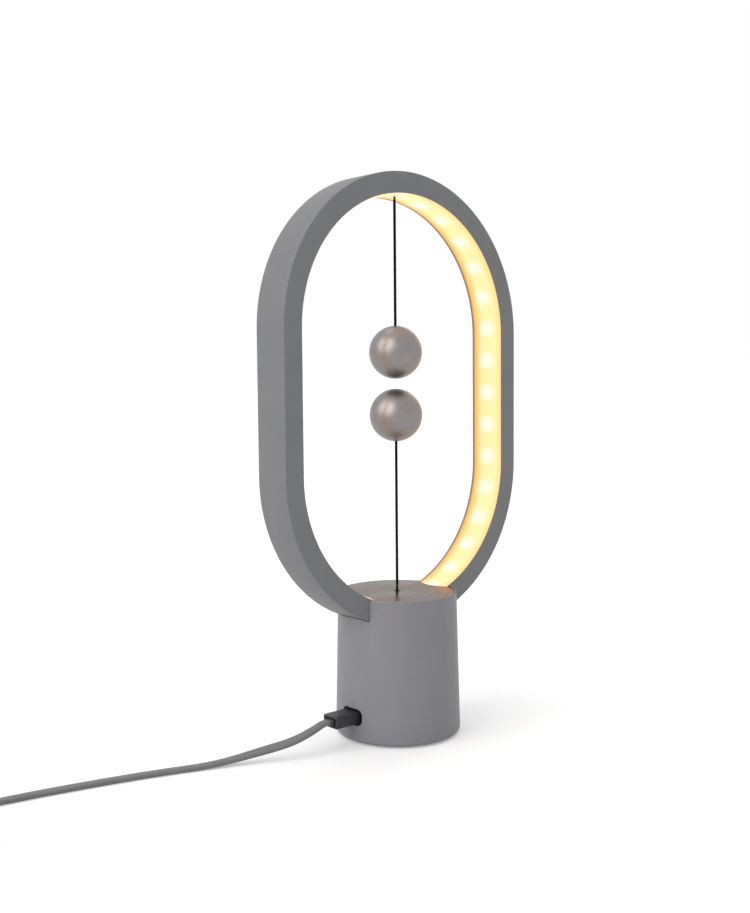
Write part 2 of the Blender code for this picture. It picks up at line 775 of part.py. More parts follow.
def build_anchor():
    """The pin in the ring's top that holds the upper cord's end bead."""
    top = LAMP_HEIGHT - RING_FLOOR - GAP
    bottom = UPPER_PIVOT + CORD_RADIUS + GAP
    profile = ((0, top), (ANCHOR_RADIUS, top), (ANCHOR_RADIUS, bottom), (0, bottom))
    turned("top_cord_anchor", profile, brass(), steps=CORD_STEPS)


def base_radius(height):
    """The housing's outer radius at a height: the wall leans in a little."""
    return BASE_BOTTOM_RADIUS - BASE_LEAN * height


def build_housing(ring_space):
    foot_centre = BASE_REVEAL + BASE_FOOT_ROUNDING
    foot_radius = base_radius(foot_centre) - BASE_FOOT_ROUNDING
    top_radius = base_radius(BASE_HEIGHT)
    flange_bottom = COVER_TOP + GAP
    flange_top = flange_bottom + COVER_FLANGE_HEIGHT
    profile = [
        (top_radius - BASE_TOP_ROUNDING, BASE_HEIGHT),
        (top_radius, BASE_HEIGHT - BASE_TOP_ROUNDING),
    ]
    rounding = arc(BASE_FOOT_ROUNDING, 0, -QUARTER, ROUNDING_STEPS)
    profile += [(foot_radius + radius, foot_centre + height) for radius, height in rounding]
    profile += [
        (COVER_SEAT_RADIUS, BASE_REVEAL),
        (COVER_SEAT_RADIUS, flange_bottom),
        (FLANGE_RADIUS, flange_bottom),
        (FLANGE_RADIUS, flange_top),
        (base_radius(flange_top) - BASE_WALL, flange_top + COVER_FLANGE),
        (base_radius(LEDGE_HEIGHT - DISC_LEDGE) - BASE_WALL, LEDGE_HEIGHT - DISC_LEDGE),
        (top_radius - BASE_RIM - DISC_LEDGE, LEDGE_HEIGHT - DISC_LEDGE / 2),
        (top_radius - BASE_RIM - DISC_LEDGE, LEDGE_HEIGHT),
        (top_radius - BASE_RIM, LEDGE_HEIGHT),
        (top_radius - BASE_RIM, BASE_HEIGHT),
    ]
    housing = turned("base_housing", profile, painted_grey(), closed=True)
    cut(housing, ring_space)
    opening = box(
        "plug_opening",
        (2 * BASE_WALL + 2 * OVERRUN, OPENING_WIDTH, OPENING_HEIGHT),
        edge=OPENING_CORNER,
        cutter=True,
        segments=OPENING_CORNER_STEPS,
    )
    place(opening, (-base_radius(SOCKET_AXIS), 0, SOCKET_AXIS))
    cut(housing, opening)


def build_disc(ring_space):
    bottom = BASE_HEIGHT - DISC_THICKNESS
    hole_radius = GROMMET_RADIUS + GAP
    profile = (
        (hole_radius, BASE_HEIGHT),
        (DISC_RADIUS - DISC_EDGE, BASE_HEIGHT),
        (DISC_RADIUS, BASE_HEIGHT - DISC_EDGE),
        (DISC_RADIUS, bottom),
        (hole_radius, bottom),
    )
    disc = turned("base_top_disc", profile, brushed_metal(), closed=True)
    cut(disc, ring_space)


def build_grommet():
    bottom = BASE_HEIGHT - DISC_THICKNESS
    profile = (
        (GROMMET_BORE, BASE_HEIGHT),
        (GROMMET_RADIUS, BASE_HEIGHT),
        (GROMMET_RADIUS, bottom),
        (GROMMET_BORE, bottom),
    )
    turned("cord_grommet", profile, black_rubber(), closed=True, steps=BUSH_STEPS)


def build_cover():
    groove_inner = FOOT_INNER_RADIUS - GAP
    groove_top = FOOT_HEIGHT + GAP
    cover = turned(
        "bottom_cover",
        (
            (0, COVER_TOP),
            (COVER_RADIUS, COVER_TOP),
            (COVER_RADIUS, BASE_REVEAL),
            (FOOT_OUTER_RADIUS + GAP, BASE_REVEAL),
            (FOOT_OUTER_RADIUS + GAP, groove_top),
            (groove_inner, groove_top),
            (groove_inner, BASE_REVEAL),
            (0, BASE_REVEAL),
        ),
        black_plastic(),
    )
    for i, (x, y) in enumerate(post_places()):
        hole(cover, f"cover_hole_{i}", SCREW_HOLE_RADIUS, -OVERRUN, COVER_TOP + OVERRUN, x, y)
        top = BASE_REVEAL + SCREW_HEAD_HEIGHT + 2 * GAP
        hole(cover, f"cover_sink_{i}", SCREW_HEAD_RADIUS + GAP, -OVERRUN, top, x, y)


def build_foot():
    profile = (
        (FOOT_OUTER_RADIUS, FOOT_HEIGHT),
        (FOOT_OUTER_RADIUS, 0),
        (FOOT_INNER_RADIUS, 0),
        (FOOT_INNER_RADIUS, FOOT_HEIGHT),
    )
    turned("foot_ring", profile, black_rubber(), closed=True)


def build_weight():
    profile = (
        (0, WEIGHT_TOP),
        (WEIGHT_RADIUS - WEIGHT_EDGE, WEIGHT_TOP),
        (WEIGHT_RADIUS, WEIGHT_TOP - WEIGHT_EDGE),
        (WEIGHT_RADIUS, WEIGHT_BOTTOM + WEIGHT_EDGE),
        (WEIGHT_RADIUS - WEIGHT_EDGE, WEIGHT_BOTTOM),
        (0, WEIGHT_BOTTOM),
    )
    weight = turned("ballast_weight", profile, cast_iron(), steps=SMALL_TURN_STEPS)
    for i, (x, y) in enumerate(board_screw_places()):
        boss = cylinder(f"board_boss_{i}", BOSS_RADIUS, BOARD_LIFT - GAP + WEIGHT_EDGE, cutter=True)
        place(boss, (x, y, WEIGHT_TOP + (BOARD_LIFT - GAP - WEIGHT_EDGE) / 2))
        cut(weight, boss, "UNION")
    for i, (x, y) in enumerate(post_places()):
        hole(weight, f"weight_hole_{i}", SCREW_HOLE_RADIUS, 0, WEIGHT_TOP + OVERRUN, x, y)
    for i, (x, y) in enumerate(board_screw_places()):
        bottom = WEIGHT_TOP - SCREW_BITE - GAP
        hole(weight, f"board_hole_{i}", SCREW_HOLE_RADIUS, bottom, BOARD_BOTTOM + OVERRUN, x, y)


def post_places():
    return [(POST_CIRCLE * math.cos(angle), POST_CIRCLE * math.sin(angle)) for angle in POST_ANGLES]


def board_screw_places():
    return [(-BOARD_START + BOARD_SCREW_INSET, side * BOARD_SCREW_SPACING / 2) for side in (-1, 1)]


def screw(name, head_top, length, x=0.0, y=0.0):
    """A screw whose head is up: head_top is its highest point and length runs under its head."""
    head_bottom = -SCREW_HEAD_HEIGHT
    profile = (
        (0, -SCREW_DRIVE_DEPTH),
        (SCREW_DRIVE_RADIUS, -SCREW_DRIVE_DEPTH),
        (SCREW_DRIVE_RADIUS, 0),
        (SCREW_HEAD_RADIUS, 0),
        (SCREW_HEAD_RADIUS, head_bottom),
        (SCREW_RADIUS, head_bottom),
        (SCREW_RADIUS, head_bottom - length),
        (0, head_bottom - length),
    )
    made = turned(name, profile, steel(), steps=SCREW_STEPS)
    made.location = (x, y, head_top)
    return made


def build_posts():
    for i, (x, y) in enumerate(post_places(), 1):
        post = cylinder(f"chassis_post_{i}", POST_RADIUS, POST_TOP - POST_BOTTOM, steel(), sides=POST_SIDES)
        place(post, (x, y, (POST_TOP + POST_BOTTOM) / 2))
        bore = SCREW_BITE + 2 * GAP
        hole(post, f"post_bore_low_{i}", SCREW_HOLE_RADIUS, POST_BOTTOM - OVERRUN, POST_BOTTOM + bore, x, y)
        hole(post, f"post_bore_high_{i}", SCREW_HOLE_RADIUS, POST_TOP - bore, POST_TOP + OVERRUN, x, y)
        top = CHASSIS_TOP + GAP + SCREW_HEAD_HEIGHT
        screw(f"chassis_screw_{i}", top, CHASSIS_THICKNESS + SCREW_BITE, x, y)
        head = BASE_REVEAL + GAP
        lower = screw(f"cover_screw_{i}", head, POST_BOTTOM + SCREW_BITE - head - SCREW_HEAD_HEIGHT, x, y)
        lower.rotation_euler = (HALF, 0, 0)


def build_chassis(ring_space):
    radius = base_radius(CHASSIS_TOP) - BASE_WALL - CHASSIS_CLEARANCE
    middle = (CHASSIS_TOP + CHASSIS_BOTTOM) / 2
    plate = cylinder("chassis", radius, CHASSIS_THICKNESS, chassis_plastic(), sides=TURN_STEPS)
    place(plate, (0, 0, middle))
    saddle = box("saddle", (SADDLE_LENGTH, SADDLE_WIDTH, SADDLE_TOP - middle), cutter=True)
    place(saddle, (0, 0, (SADDLE_TOP + middle) / 2))
    cut(plate, saddle, "UNION")
    rib = box("switch_rib", (SWITCH_LENGTH, RIB_THICKNESS, middle - SWITCH_BOTTOM), cutter=True)
    rib_y = SWITCH_WIDTH / 2 + GAP + RIB_THICKNESS / 2
    place(rib, (SWITCH_MIDDLE, rib_y, (middle + SWITCH_BOTTOM) / 2))
    cut(plate, rib, "UNION")
    cut(plate, ring_space)
    low = CHASSIS_BOTTOM - OVERRUN
    high = SADDLE_TOP + OVERRUN
    hole(plate, "bush_way", BUSH_RADIUS + GAP, low, high)
    hole(plate, "lead_way_saddle", LEAD_HOLE_RADIUS, low, high, x=LEAD_HOLE_OFFSET, y=-LEAD_ROW)
    for i, (x, y) in enumerate(post_places()):
        hole(plate, f"chassis_hole_{i}", SCREW_HOLE_RADIUS, low, CHASSIS_TOP + OVERRUN, x, y)
    for side in (-1, 1):
        drill = cylinder(f"saddle_bore_{side}", SCREW_HOLE_RADIUS, 2 * (SCREW_BITE + GAP), cutter=True)
        seat_on_ring(drill, side * ring_screw_angle(), RING_RADIUS)
        cut(plate, drill)
    for i, (x, z) in enumerate(switch_screw_places()):
        drill = cylinder(f"rib_bore_{i}", SMALL_SCREW_RADIUS + GAP, 2 * RIB_THICKNESS, cutter=True)
        place(drill, (x, rib_y, z), (QUARTER, 0, 0))
        cut(plate, drill)


def build_ring_screws():
    for name, side in (("ring_screw_left", -1), ("ring_screw_right", 1)):
        made = screw(name, 0, RING_FLOOR + SCREW_BITE - GAP)
        seat_on_ring(made, side * ring_screw_angle(), RING_RADIUS - RING_FLOOR - GAP - SCREW_HEAD_HEIGHT)


def build_bush():
    top = CHASSIS_BOTTOM + BUSH_LENGTH
    profile = (
        (BUSH_BORE, top),
        (BUSH_RADIUS, top),
        (BUSH_RADIUS, BUSH_FLANGE_TOP),
        (BUSH_FLANGE_RADIUS, BUSH_FLANGE_TOP),
        (BUSH_FLANGE_RADIUS, BUSH_FLANGE_BOTTOM),
        (BUSH_BORE, BUSH_FLANGE_BOTTOM),
    )
    turned("plunger_bush", profile, brass(), closed=True, steps=BUSH_STEPS)


def build_plunger():
    bottom = PLUNGER_TOP - PLUNGER_THICKNESS
    profile = (
        (0, STEM_BORE_BOTTOM),
        (CORD_HOLE_RADIUS, STEM_BORE_BOTTOM),
        (CORD_HOLE_RADIUS, STEM_TOP),
        (STEM_RADIUS, STEM_TOP),
        (STEM_RADIUS, PLUNGER_TOP),
        (PLUNGER_RADIUS, PLUNGER_TOP),
        (PLUNGER_RADIUS, bottom),
        (STEM_RADIUS, bottom),
        (STEM_RADIUS, bottom - PLUNGER_TAIL),
        (0, bottom - PLUNGER_TAIL),
    )
    turned("plunger", profile, chassis_plastic(), steps=BUSH_STEPS)


def build_spring():
    """The spring that pushes the plunger down when nothing pulls at the cord."""
    top = BUSH_FLANGE_BOTTOM - GAP - SPRING_WIRE
    bottom = PLUNGER_TOP + GAP + SPRING_WIRE
    count = SPRING_TURNS * SPRING_POINTS_PER_TURN
    points = []
    for i in range(count + 1):
        angle = 2 * math.pi * i / SPRING_POINTS_PER_TURN
        height = bottom + (top - bottom) * i / count
        points.append((SPRING_RADIUS * math.cos(angle), SPRING_RADIUS * math.sin(angle), height))
    tube("return_spring", points, SPRING_WIRE, steel(), resolution=1)


def build_pull_cord():
    low = STEM_BORE_BOTTOM + GAP
    high = LOWER_PIVOT - CORD_RADIUS - GAP
    cord("pull_cord", low, high)


def cord(name, low, high):
    made = cylinder(name, CORD_RADIUS, high - low, black_cord(), sides=CORD_STEPS)
    place(made, (0, 0, (low + high) / 2))


def bead(name, height):
    """The cord's knot at its pivot, a ball so that the cord can swing about its middle."""

    def build(made):
        bmesh.ops.create_uvsphere(
            made, u_segments=CORD_STEPS, v_segments=CORD_STEPS // 2, radius=CORD_RADIUS
        )

    ball = add_mesh(name, mesh_from(name, build), black_cord())
    ball.location = (0, 0, height)
    shade(ball)


def arc(radius, first, last, steps):
    """Points (radius, height) on a circle about the origin, from one angle above the level to another."""
    angles = [first + (last - first) * i / steps for i in range(steps + 1)]
    return [(radius * math.cos(angle), radius * math.sin(angle)) for angle in angles]


def ball_cord_half(name, height, up):
    """The half shell with the cord's hole in its pole."""
    rim = math.asin(GAP / 2 / BALL_RADIUS)
    outer_pole = math.acos(CORD_HOLE_RADIUS / BALL_RADIUS)
    inner_pole = math.acos(CORD_HOLE_RADIUS / BALL_INNER_RADIUS)
    inner_rim = math.asin(GAP / 2 / BALL_INNER_RADIUS)
    profile = arc(BALL_RADIUS, outer_pole, rim, BALL_STEPS)
    profile += arc(BALL_INNER_RADIUS, inner_rim, inner_pole, BALL_INNER_STEPS)
    half = turned(name, profile, brushed_metal(), closed=True, steps=SMALL_TURN_STEPS)
    place(half, (0, 0, height), (0 if up else HALF, 0, 0))


def ball_magnet_half(name, height, up):
    """The half shell that holds the magnet, with a lip that fits inside the other half."""
    rim = -math.asin(GAP / 2 / BALL_RADIUS)
    lip_outer = BALL_INNER_RADIUS - BALL_LIP_CLEARANCE
    lip_inner = lip_outer - BALL_LIP_WALL
    lip_foot = -math.acos(lip_inner / BALL_INNER_RADIUS)
    profile = arc(BALL_RADIUS, rim, -QUARTER, BALL_STEPS)
    profile += arc(BALL_INNER_RADIUS, -QUARTER, lip_foot, BALL_INNER_STEPS)
    profile[BALL_STEPS] = (0, -BALL_RADIUS)
    profile[BALL_STEPS + 1] = (0, -BALL_INNER_RADIUS)
    profile += [
        (lip_inner, BALL_LIP_HEIGHT),
        (lip_outer, BALL_LIP_HEIGHT),
        (lip_outer, -GAP / 2),
        profile[0],
    ]
    start = profile[BALL_STEPS + 1 :] + profile[1 : BALL_STEPS + 1]
    half = turned(name, start, brushed_metal(), steps=SMALL_TURN_STEPS)
    place(half, (0, 0, height), (0 if up else HALF, 0, 0))


def depth_in_ball(radius):
    """How far from the ball's middle a flat piece of this radius touches the shell's inner side."""
    return math.sqrt(BALL_INNER_RADIUS**2 - radius**2)


def build_magnet(name, height, up):
    middle = depth_in_ball(MAGNET_RADIUS) - GAP - MAGNET_THICKNESS / 2
    magnet = cylinder(name, MAGNET_RADIUS, MAGNET_THICKNESS, magnet_metal(), sides=MAGNET_STEPS)
    magnet.location = (0, 0, height - middle if up else height + middle)


def build_stop(name, height, up):
    """The crimped stop on the cord's end, inside the ball's pole."""
    top = depth_in_ball(STOP_RADIUS) - GAP
    profile = (
        (0, top - STOP_BORE_DEPTH),
        (CORD_HOLE_RADIUS, top - STOP_BORE_DEPTH),
        (CORD_HOLE_RADIUS, top),
        (STOP_RADIUS, top),
        (STOP_RADIUS, top - STOP_LENGTH),
        (0, top - STOP_LENGTH),
    )
    stop = turned(name, profile, brass(), steps=CORD_STEPS)
    place(stop, (0, 0, height), (0 if up else HALF, 0, 0))


def cord_end_in_ball():
    """How far from the ball's middle its cord ends, at the bottom of the stop's bore."""
    return depth_in_ball(STOP_RADIUS) - STOP_BORE_DEPTH


def build_upper_ball():
    bead("upper_cord_bead", UPPER_PIVOT)
    cord("upper_cord", UPPER_BALL_HEIGHT + cord_end_in_ball(), UPPER_PIVOT - CORD_RADIUS - GAP)
    ball_cord_half("upper_ball_top_half", UPPER_BALL_HEIGHT, True)
    ball_magnet_half("upper_ball_bottom_half", UPPER_BALL_HEIGHT, True)
    build_magnet("upper_magnet", UPPER_BALL_HEIGHT, True)
    build_stop("upper_cord_stop", UPPER_BALL_HEIGHT, True)


def build_lower_ball():
    bead("lower_cord_bead", LOWER_PIVOT)
    cord("lower_cord", LOWER_PIVOT + CORD_RADIUS + GAP, LOWER_BALL_HEIGHT - cord_end_in_ball())
    ball_cord_half("lower_ball_bottom_half", LOWER_BALL_HEIGHT, False)
    ball_magnet_half("lower_ball_top_half", LOWER_BALL_HEIGHT, False)
    build_magnet("lower_magnet", LOWER_BALL_HEIGHT, False)
    build_stop("lower_cord_stop", LOWER_BALL_HEIGHT, False)


def switch_screw_places():
    height = SWITCH_TOP - SWITCH_SCREW_DROP
    return [(SWITCH_MIDDLE + side * SWITCH_SCREW_SPACING / 2, height) for side in (-1, 1)]


def build_switch():
    size = (SWITCH_LENGTH, SWITCH_WIDTH, SWITCH_HEIGHT)
    body = box("switch_body", size, black_plastic(), edge=SWITCH_EDGE)
    place(body, (SWITCH_MIDDLE, 0, (SWITCH_TOP + SWITCH_BOTTOM) / 2))
    well = BUTTON_LENGTH - BUTTON_SHOW + 2 * GAP
    hole(body, "button_well", BUTTON_RADIUS + GAP, SWITCH_BOTTOM - OVERRUN, SWITCH_BOTTOM + well, x=BUTTON_X)
    reach = SWITCH_WIDTH + RIB_THICKNESS
    for i, (x, z) in enumerate(switch_screw_places(), 1):
        way = cylinder(f"switch_bore_{i}", SMALL_SCREW_RADIUS + GAP, SWITCH_WIDTH + 2 * OVERRUN, cutter=True)
        place(way, (x, 0, z), (QUARTER, 0, 0))
        cut(body, way)
        profile = (
            (0, SMALL_SCREW_HEAD_HEIGHT),
            (SMALL_SCREW_HEAD_RADIUS, SMALL_SCREW_HEAD_HEIGHT),
            (SMALL_SCREW_HEAD_RADIUS, 0),
            (SMALL_SCREW_RADIUS, 0),
            (SMALL_SCREW_RADIUS, -reach),
            (0, -reach),
        )
        made = turned(f"switch_screw_{i}", profile, steel(), steps=SCREW_STEPS)
        place(made, (x, -SWITCH_WIDTH / 2 - GAP, z), (QUARTER, 0, 0))


def build_button():
    """The switch's button, held in by the lever."""
    low = SWITCH_BOTTOM - BUTTON_SHOW
    button = cylinder("switch_button", BUTTON_RADIUS, BUTTON_LENGTH, chassis_plastic())
    place(button, (BUTTON_X, 0, low + BUTTON_LENGTH / 2))


def build_lever():
    """The switch's lever: a thin arm over the plunger's rim, with a rolled end as its hinge."""
    roll = cylinder("switch_lever", LEVER_ROLL_RADIUS, LEVER_WIDTH, steel())
    place(roll, (LEVER_PIVOT_X, 0, LEVER_HEIGHT), (QUARTER, 0, 0))
    arm = box("lever_arm", (LEVER_PIVOT_X - LEVER_TIP, LEVER_ARM_WIDTH, LEVER_THICKNESS), cutter=True)
    place(arm, ((LEVER_PIVOT_X + LEVER_TIP) / 2, 0, LEVER_HEIGHT))
    cut(roll, arm, "UNION")


def build_board():
    board = box("control_board", (BOARD_LENGTH, BOARD_WIDTH, BOARD_THICKNESS), board_green())
    place(board, (-BOARD_START + BOARD_LENGTH / 2, 0, (BOARD_TOP + BOARD_BOTTOM) / 2))
    for i, (x, y) in enumerate(board_screw_places(), 1):
        hole(board, f"board_way_{i}", SCREW_HOLE_RADIUS, BOARD_BOTTOM - OVERRUN, BOARD_TOP + OVERRUN, x, y)
        seat = BOARD_TOP + GAP
        screw(f"board_screw_{i}", seat + SCREW_HEAD_HEIGHT, seat - WEIGHT_TOP + SCREW_BITE, x, y)


def build_socket():
    """The charging socket: a metal shell round a tongue, open towards the plug."""
    shell = box("charging_socket", (SOCKET_LENGTH, SOCKET_WIDTH, SOCKET_HEIGHT), steel())
    place(shell, (-SOCKET_FRONT + SOCKET_LENGTH / 2, 0, SOCKET_AXIS))
    depth = SOCKET_LENGTH - SOCKET_SHELL
    mouth = box(
        "socket_mouth",
        (depth + OVERRUN, SOCKET_BORE_WIDTH, SOCKET_BORE_HEIGHT),
        cutter=True,
    )
    place(mouth, (-SOCKET_FRONT + (depth - OVERRUN) / 2, 0, SOCKET_AXIS))
    cut(shell, mouth)
    tongue = box(
        "socket_tongue",
        (SOCKET_LENGTH - 2 * SOCKET_SHELL, SOCKET_BORE_WIDTH - 2 * TONGUE_SIDE, TONGUE_THICKNESS),
        cutter=True,
    )
    place(tongue, (-SOCKET_FRONT + SOCKET_LENGTH / 2 + SOCKET_SHELL / 2, 0, SOCKET_AXIS))
    cut(shell, tongue, "UNION")


def build_surround():
    """The dark frame behind the housing's opening, shaped to the wall's inner side."""
    depth = WALL_AT_SOCKET - SURROUND_BACK
    middle = (WALL_AT_SOCKET + SURROUND_BACK) / 2
    frame = box("plug_surround", (depth, SURROUND_WIDTH, SURROUND_HEIGHT), black_plastic())
    place(frame, (-middle, 0, SOCKET_AXIS))
    low = SOCKET_AXIS - SURROUND_HEIGHT
    high = SOCKET_AXIS + SURROUND_HEIGHT
    profile = (
        (0, high),
        (base_radius(high) - BASE_WALL - GAP, high),
        (base_radius(low) - BASE_WALL - GAP, low),
        (0, low),
    )
    wall = turned("inside_of_wall", profile, cutter=True)
    cut(frame, wall, "INTERSECT")
    way = box(
        "plug_way",
        (depth + 2 * OVERRUN, PLUG_WIDTH + 2 * RUNNING, PLUG_HEIGHT + 2 * RUNNING),
        edge=PLUG_EDGE,
        cutter=True,
    )
    place(way, (-middle, 0, SOCKET_AXIS))
    cut(frame, way)


def build_plug():
    body = box("plug_body", (PLUG_LENGTH, PLUG_WIDTH, PLUG_HEIGHT), plug_plastic(), edge=PLUG_EDGE)
    place(body, (-(PLUG_END + PLUG_FRONT) / 2, 0, SOCKET_AXIS))
    pocket = box("cable_pocket", (POCKET_DEPTH + OVERRUN, POCKET_WIDTH, POCKET_HEIGHT), cutter=True)
    place(pocket, (-PLUG_END + (POCKET_DEPTH - OVERRUN) / 2, 0, SOCKET_AXIS))
    cut(body, pocket)
    collar_length = COLLAR_REACH + POCKET_DEPTH + OVERRUN
    collar = box("cable_collar", (collar_length, COLLAR_WIDTH, COLLAR_HEIGHT), cutter=True)
    place(collar, (-PLUG_END - COLLAR_REACH + collar_length / 2, 0, SOCKET_AXIS))
    cut(body, collar, "UNION")
    tip = box("plug_tip", (TIP_LENGTH, TIP_WIDTH, TIP_HEIGHT), steel())
    place(tip, (-PLUG_FRONT + GAP + TIP_LENGTH / 2, 0, SOCKET_AXIS))
    bore = box("tip_bore", (TIP_LENGTH, TIP_WIDTH - 2 * TIP_WALL, TIP_HEIGHT - 2 * TIP_WALL), cutter=True)
    place(bore, (-PLUG_FRONT + GAP + TIP_LENGTH / 2 + TIP_WALL, 0, SOCKET_AXIS))
    cut(tip, bore)


def cable_profile():
    """The flat cable's section: a long shape with round sides, its width along X."""
    curve = bpy.data.curves.new("cable_section", "CURVE")
    curve.dimensions = "2D"
    spline = curve.splines.new("POLY")
    half = CABLE_THICKNESS / 2
    flat = CABLE_WIDTH / 2 - half
    turn = math.pi / CABLE_CORNER_STEPS
    points = []
    for side in (1, -1):
        for i in range(CABLE_CORNER_STEPS + 1):
            angle = QUARTER - i * turn
            points.append((side * (flat + half * math.cos(angle)), side * half * math.sin(angle)))
    spline.points.add(len(points) - 1)
    for point, (x, y) in zip(spline.points, points):
        point.co = (x, y, 0, 1)
    spline.use_cyclic_u = True
    section = bpy.data.objects.new("cable_section", curve)
    CUTTERS.objects.link(section)
    section.hide_render = True
    return section


def ribbon(name, points, turns, section):
    """The flat cable along points; turns says how far it has rolled from flat to on edge at each."""
    curve = bpy.data.curves.new(name, "CURVE")
    curve.dimensions = "3D"
    curve.twist_mode = "Z_UP"
    curve.bevel_mode = "OBJECT"
    curve.bevel_object = section
    curve.use_fill_caps = True
    spline = curve.splines.new("POLY")
    spline.points.add(len(points) - 1)
    for point, spot, turn in zip(spline.points, points, turns):
        point.co = (*spot, 1)
        point.tilt = turn
    curve.materials.append(cable_plastic())
    obj = bpy.data.objects.new(name, curve)
    PARTS.objects.link(obj)
    return obj


def eased(share):
    """A share kept from 0 to 1, with a gentle start and end."""
    kept = min(1.0, max(0.0, share))
    return kept * kept * (3 - 2 * kept)


def coil_points():
    """The coil on edge: in on the lower layer, up a layer where it reverses, out on the upper one."""
    count = COIL_TURNS * COIL_POINTS_PER_TURN
    climb = COIL_POINTS_PER_TURN // 2
    points = []
    for i in range(count + 1):
        angle = QUARTER + 2 * math.pi * i / COIL_POINTS_PER_TURN
        inward = min(i, count - i)
        share = eased((i - (count - climb) / 2) / climb)
        radius = COIL_OUTER_RADIUS - COIL_PITCH * inward / COIL_POINTS_PER_TURN
        height = COIL_LOW_HEIGHT + (COIL_HIGH_HEIGHT - COIL_LOW_HEIGHT) * share
        x = COIL_CENTRE[0] + radius * math.cos(angle)
        y = COIL_CENTRE[1] + radius * math.sin(angle)
        points.append(Vector((x, y, height)))
    return points


def build_cable():
    section = cable_profile()
    coil = coil_points()
    start = Vector((-PLUG_END - COLLAR_REACH - GAP, 0, SOCKET_AXIS))
    straight = start + Vector((-CABLE_THICKNESS, 0, 0))
    into_coil = (coil[1] - coil[0]).normalized()
    end = coil[0] - into_coil * GAP
    before_end = end - into_coil * CABLE_WIDTH
    run = smooth_route([start, straight, *CABLE_ROUTE, before_end, end], CABLE_WIDTH)
    rolled = [cable_roll(point.x) for point in run]
    for point, roll in zip(run, rolled):
        point.z = max(point.z, resting_height(roll))
    ribbon("cable_run", run, rolled, section)
    ribbon("cable_coil", coil, [QUARTER] * len(coil), section)
    print("coil's least gap to itself:", round(coil_gap(coil) * 1000, 2), "mm")
    build_cable_end(section, coil)


def cable_roll(x):
    """How far the cable has rolled: its front edge dips in the air, it lies flat, then it stands on edge."""
    in_air = min(1.0, max(0.0, (x + PLUG_END) / (CABLE_LANDING + PLUG_END)))
    first, last = CABLE_STANDING_UP
    dip = CABLE_AIR_ROLL * math.sin(math.pi * in_air) ** 2
    return QUARTER * eased((x - first) / (last - first)) - dip


def resting_height(roll):
    """How high the flat cable's middle lies over the table when it has rolled by an angle."""
    return CABLE_LIFT + CABLE_THICKNESS / 2 + (CABLE_WIDTH - CABLE_THICKNESS) / 2 * abs(math.sin(roll))


def coil_gap(points):
    """The least distance between two turns' faces, measured between their middles on one layer."""
    least = math.inf
    apart = COIL_POINTS_PER_TURN // 2
    for i, one in enumerate(points):
        for other in points[i + apart :]:
            rise = abs(one.z - other.z)
            flat = (one.xy - other.xy).length
            side = flat - CABLE_THICKNESS
            over = rise - CABLE_WIDTH
            least = min(least, max(side, over))
    return least


def build_cable_end(section, coil):
    """The last stretch of cable, off the coil and into the far plug."""
    out = (coil[-1] - coil[-2]).normalized()
    start = coil[-1] + out * GAP
    level = Vector((out.x, out.y, 0)).normalized()
    run = level * CABLE_END_LENGTH
    drop = Vector((0, 0, FAR_PLUG_AXIS - start.z))
    points = [start, start + level * CABLE_WIDTH]
    points += [start + run * along + drop * down for along, down in CABLE_END_SHARES]
    points += [start + run + drop - level * CABLE_WIDTH, start + run + drop]
    placed = smooth_route(points, CABLE_WIDTH)
    first, last = CABLE_END_ROLL_SHARES
    count = len(placed) - 1
    rolled = [QUARTER * (1 - eased((i / count - first) / (last - first))) for i in range(count + 1)]
    ribbon("cable_end", placed, rolled, section)
    build_far_plug(placed[-1], level)


def build_far_plug(at, level):
    turn = (0, 0, math.atan2(level.y, level.x))
    size = (FAR_PLUG_LENGTH, FAR_PLUG_WIDTH, FAR_PLUG_HEIGHT)
    body = box("far_plug_body", size, plug_plastic(), edge=FAR_PLUG_EDGE)
    place(body, at + level * (GAP + FAR_PLUG_LENGTH / 2), turn)
    shell = box("far_plug_shell", (FAR_SHELL_LENGTH, FAR_SHELL_WIDTH, FAR_SHELL_HEIGHT), steel())
    middle = at + level * (2 * GAP + FAR_PLUG_LENGTH + FAR_SHELL_LENGTH / 2)
    place(shell, middle, turn)
    mouth = box(
        "far_plug_mouth",
        (FAR_SHELL_LENGTH, FAR_SHELL_WIDTH - 2 * FAR_SHELL_WALL, FAR_TONGUE_HEIGHT),
        cutter=True,
    )
    lift = FAR_SHELL_HEIGHT / 2 - FAR_SHELL_WALL - FAR_TONGUE_HEIGHT / 2
    place(mouth, middle + level * 2 * OVERRUN + Vector((0, 0, lift)), turn)
    cut(shell, mouth)


def channel_spot(angle, radius, y):
    """A place inside the ring's channel, at an angle from straight down."""
    return (radius * math.sin(angle), y, RING_LOW_CENTRE - radius * math.cos(angle))


def lead(name, points, look):
    tube(name, smooth_route(points, LEAD_STEP), LEAD_RADIUS, look, resolution=1)


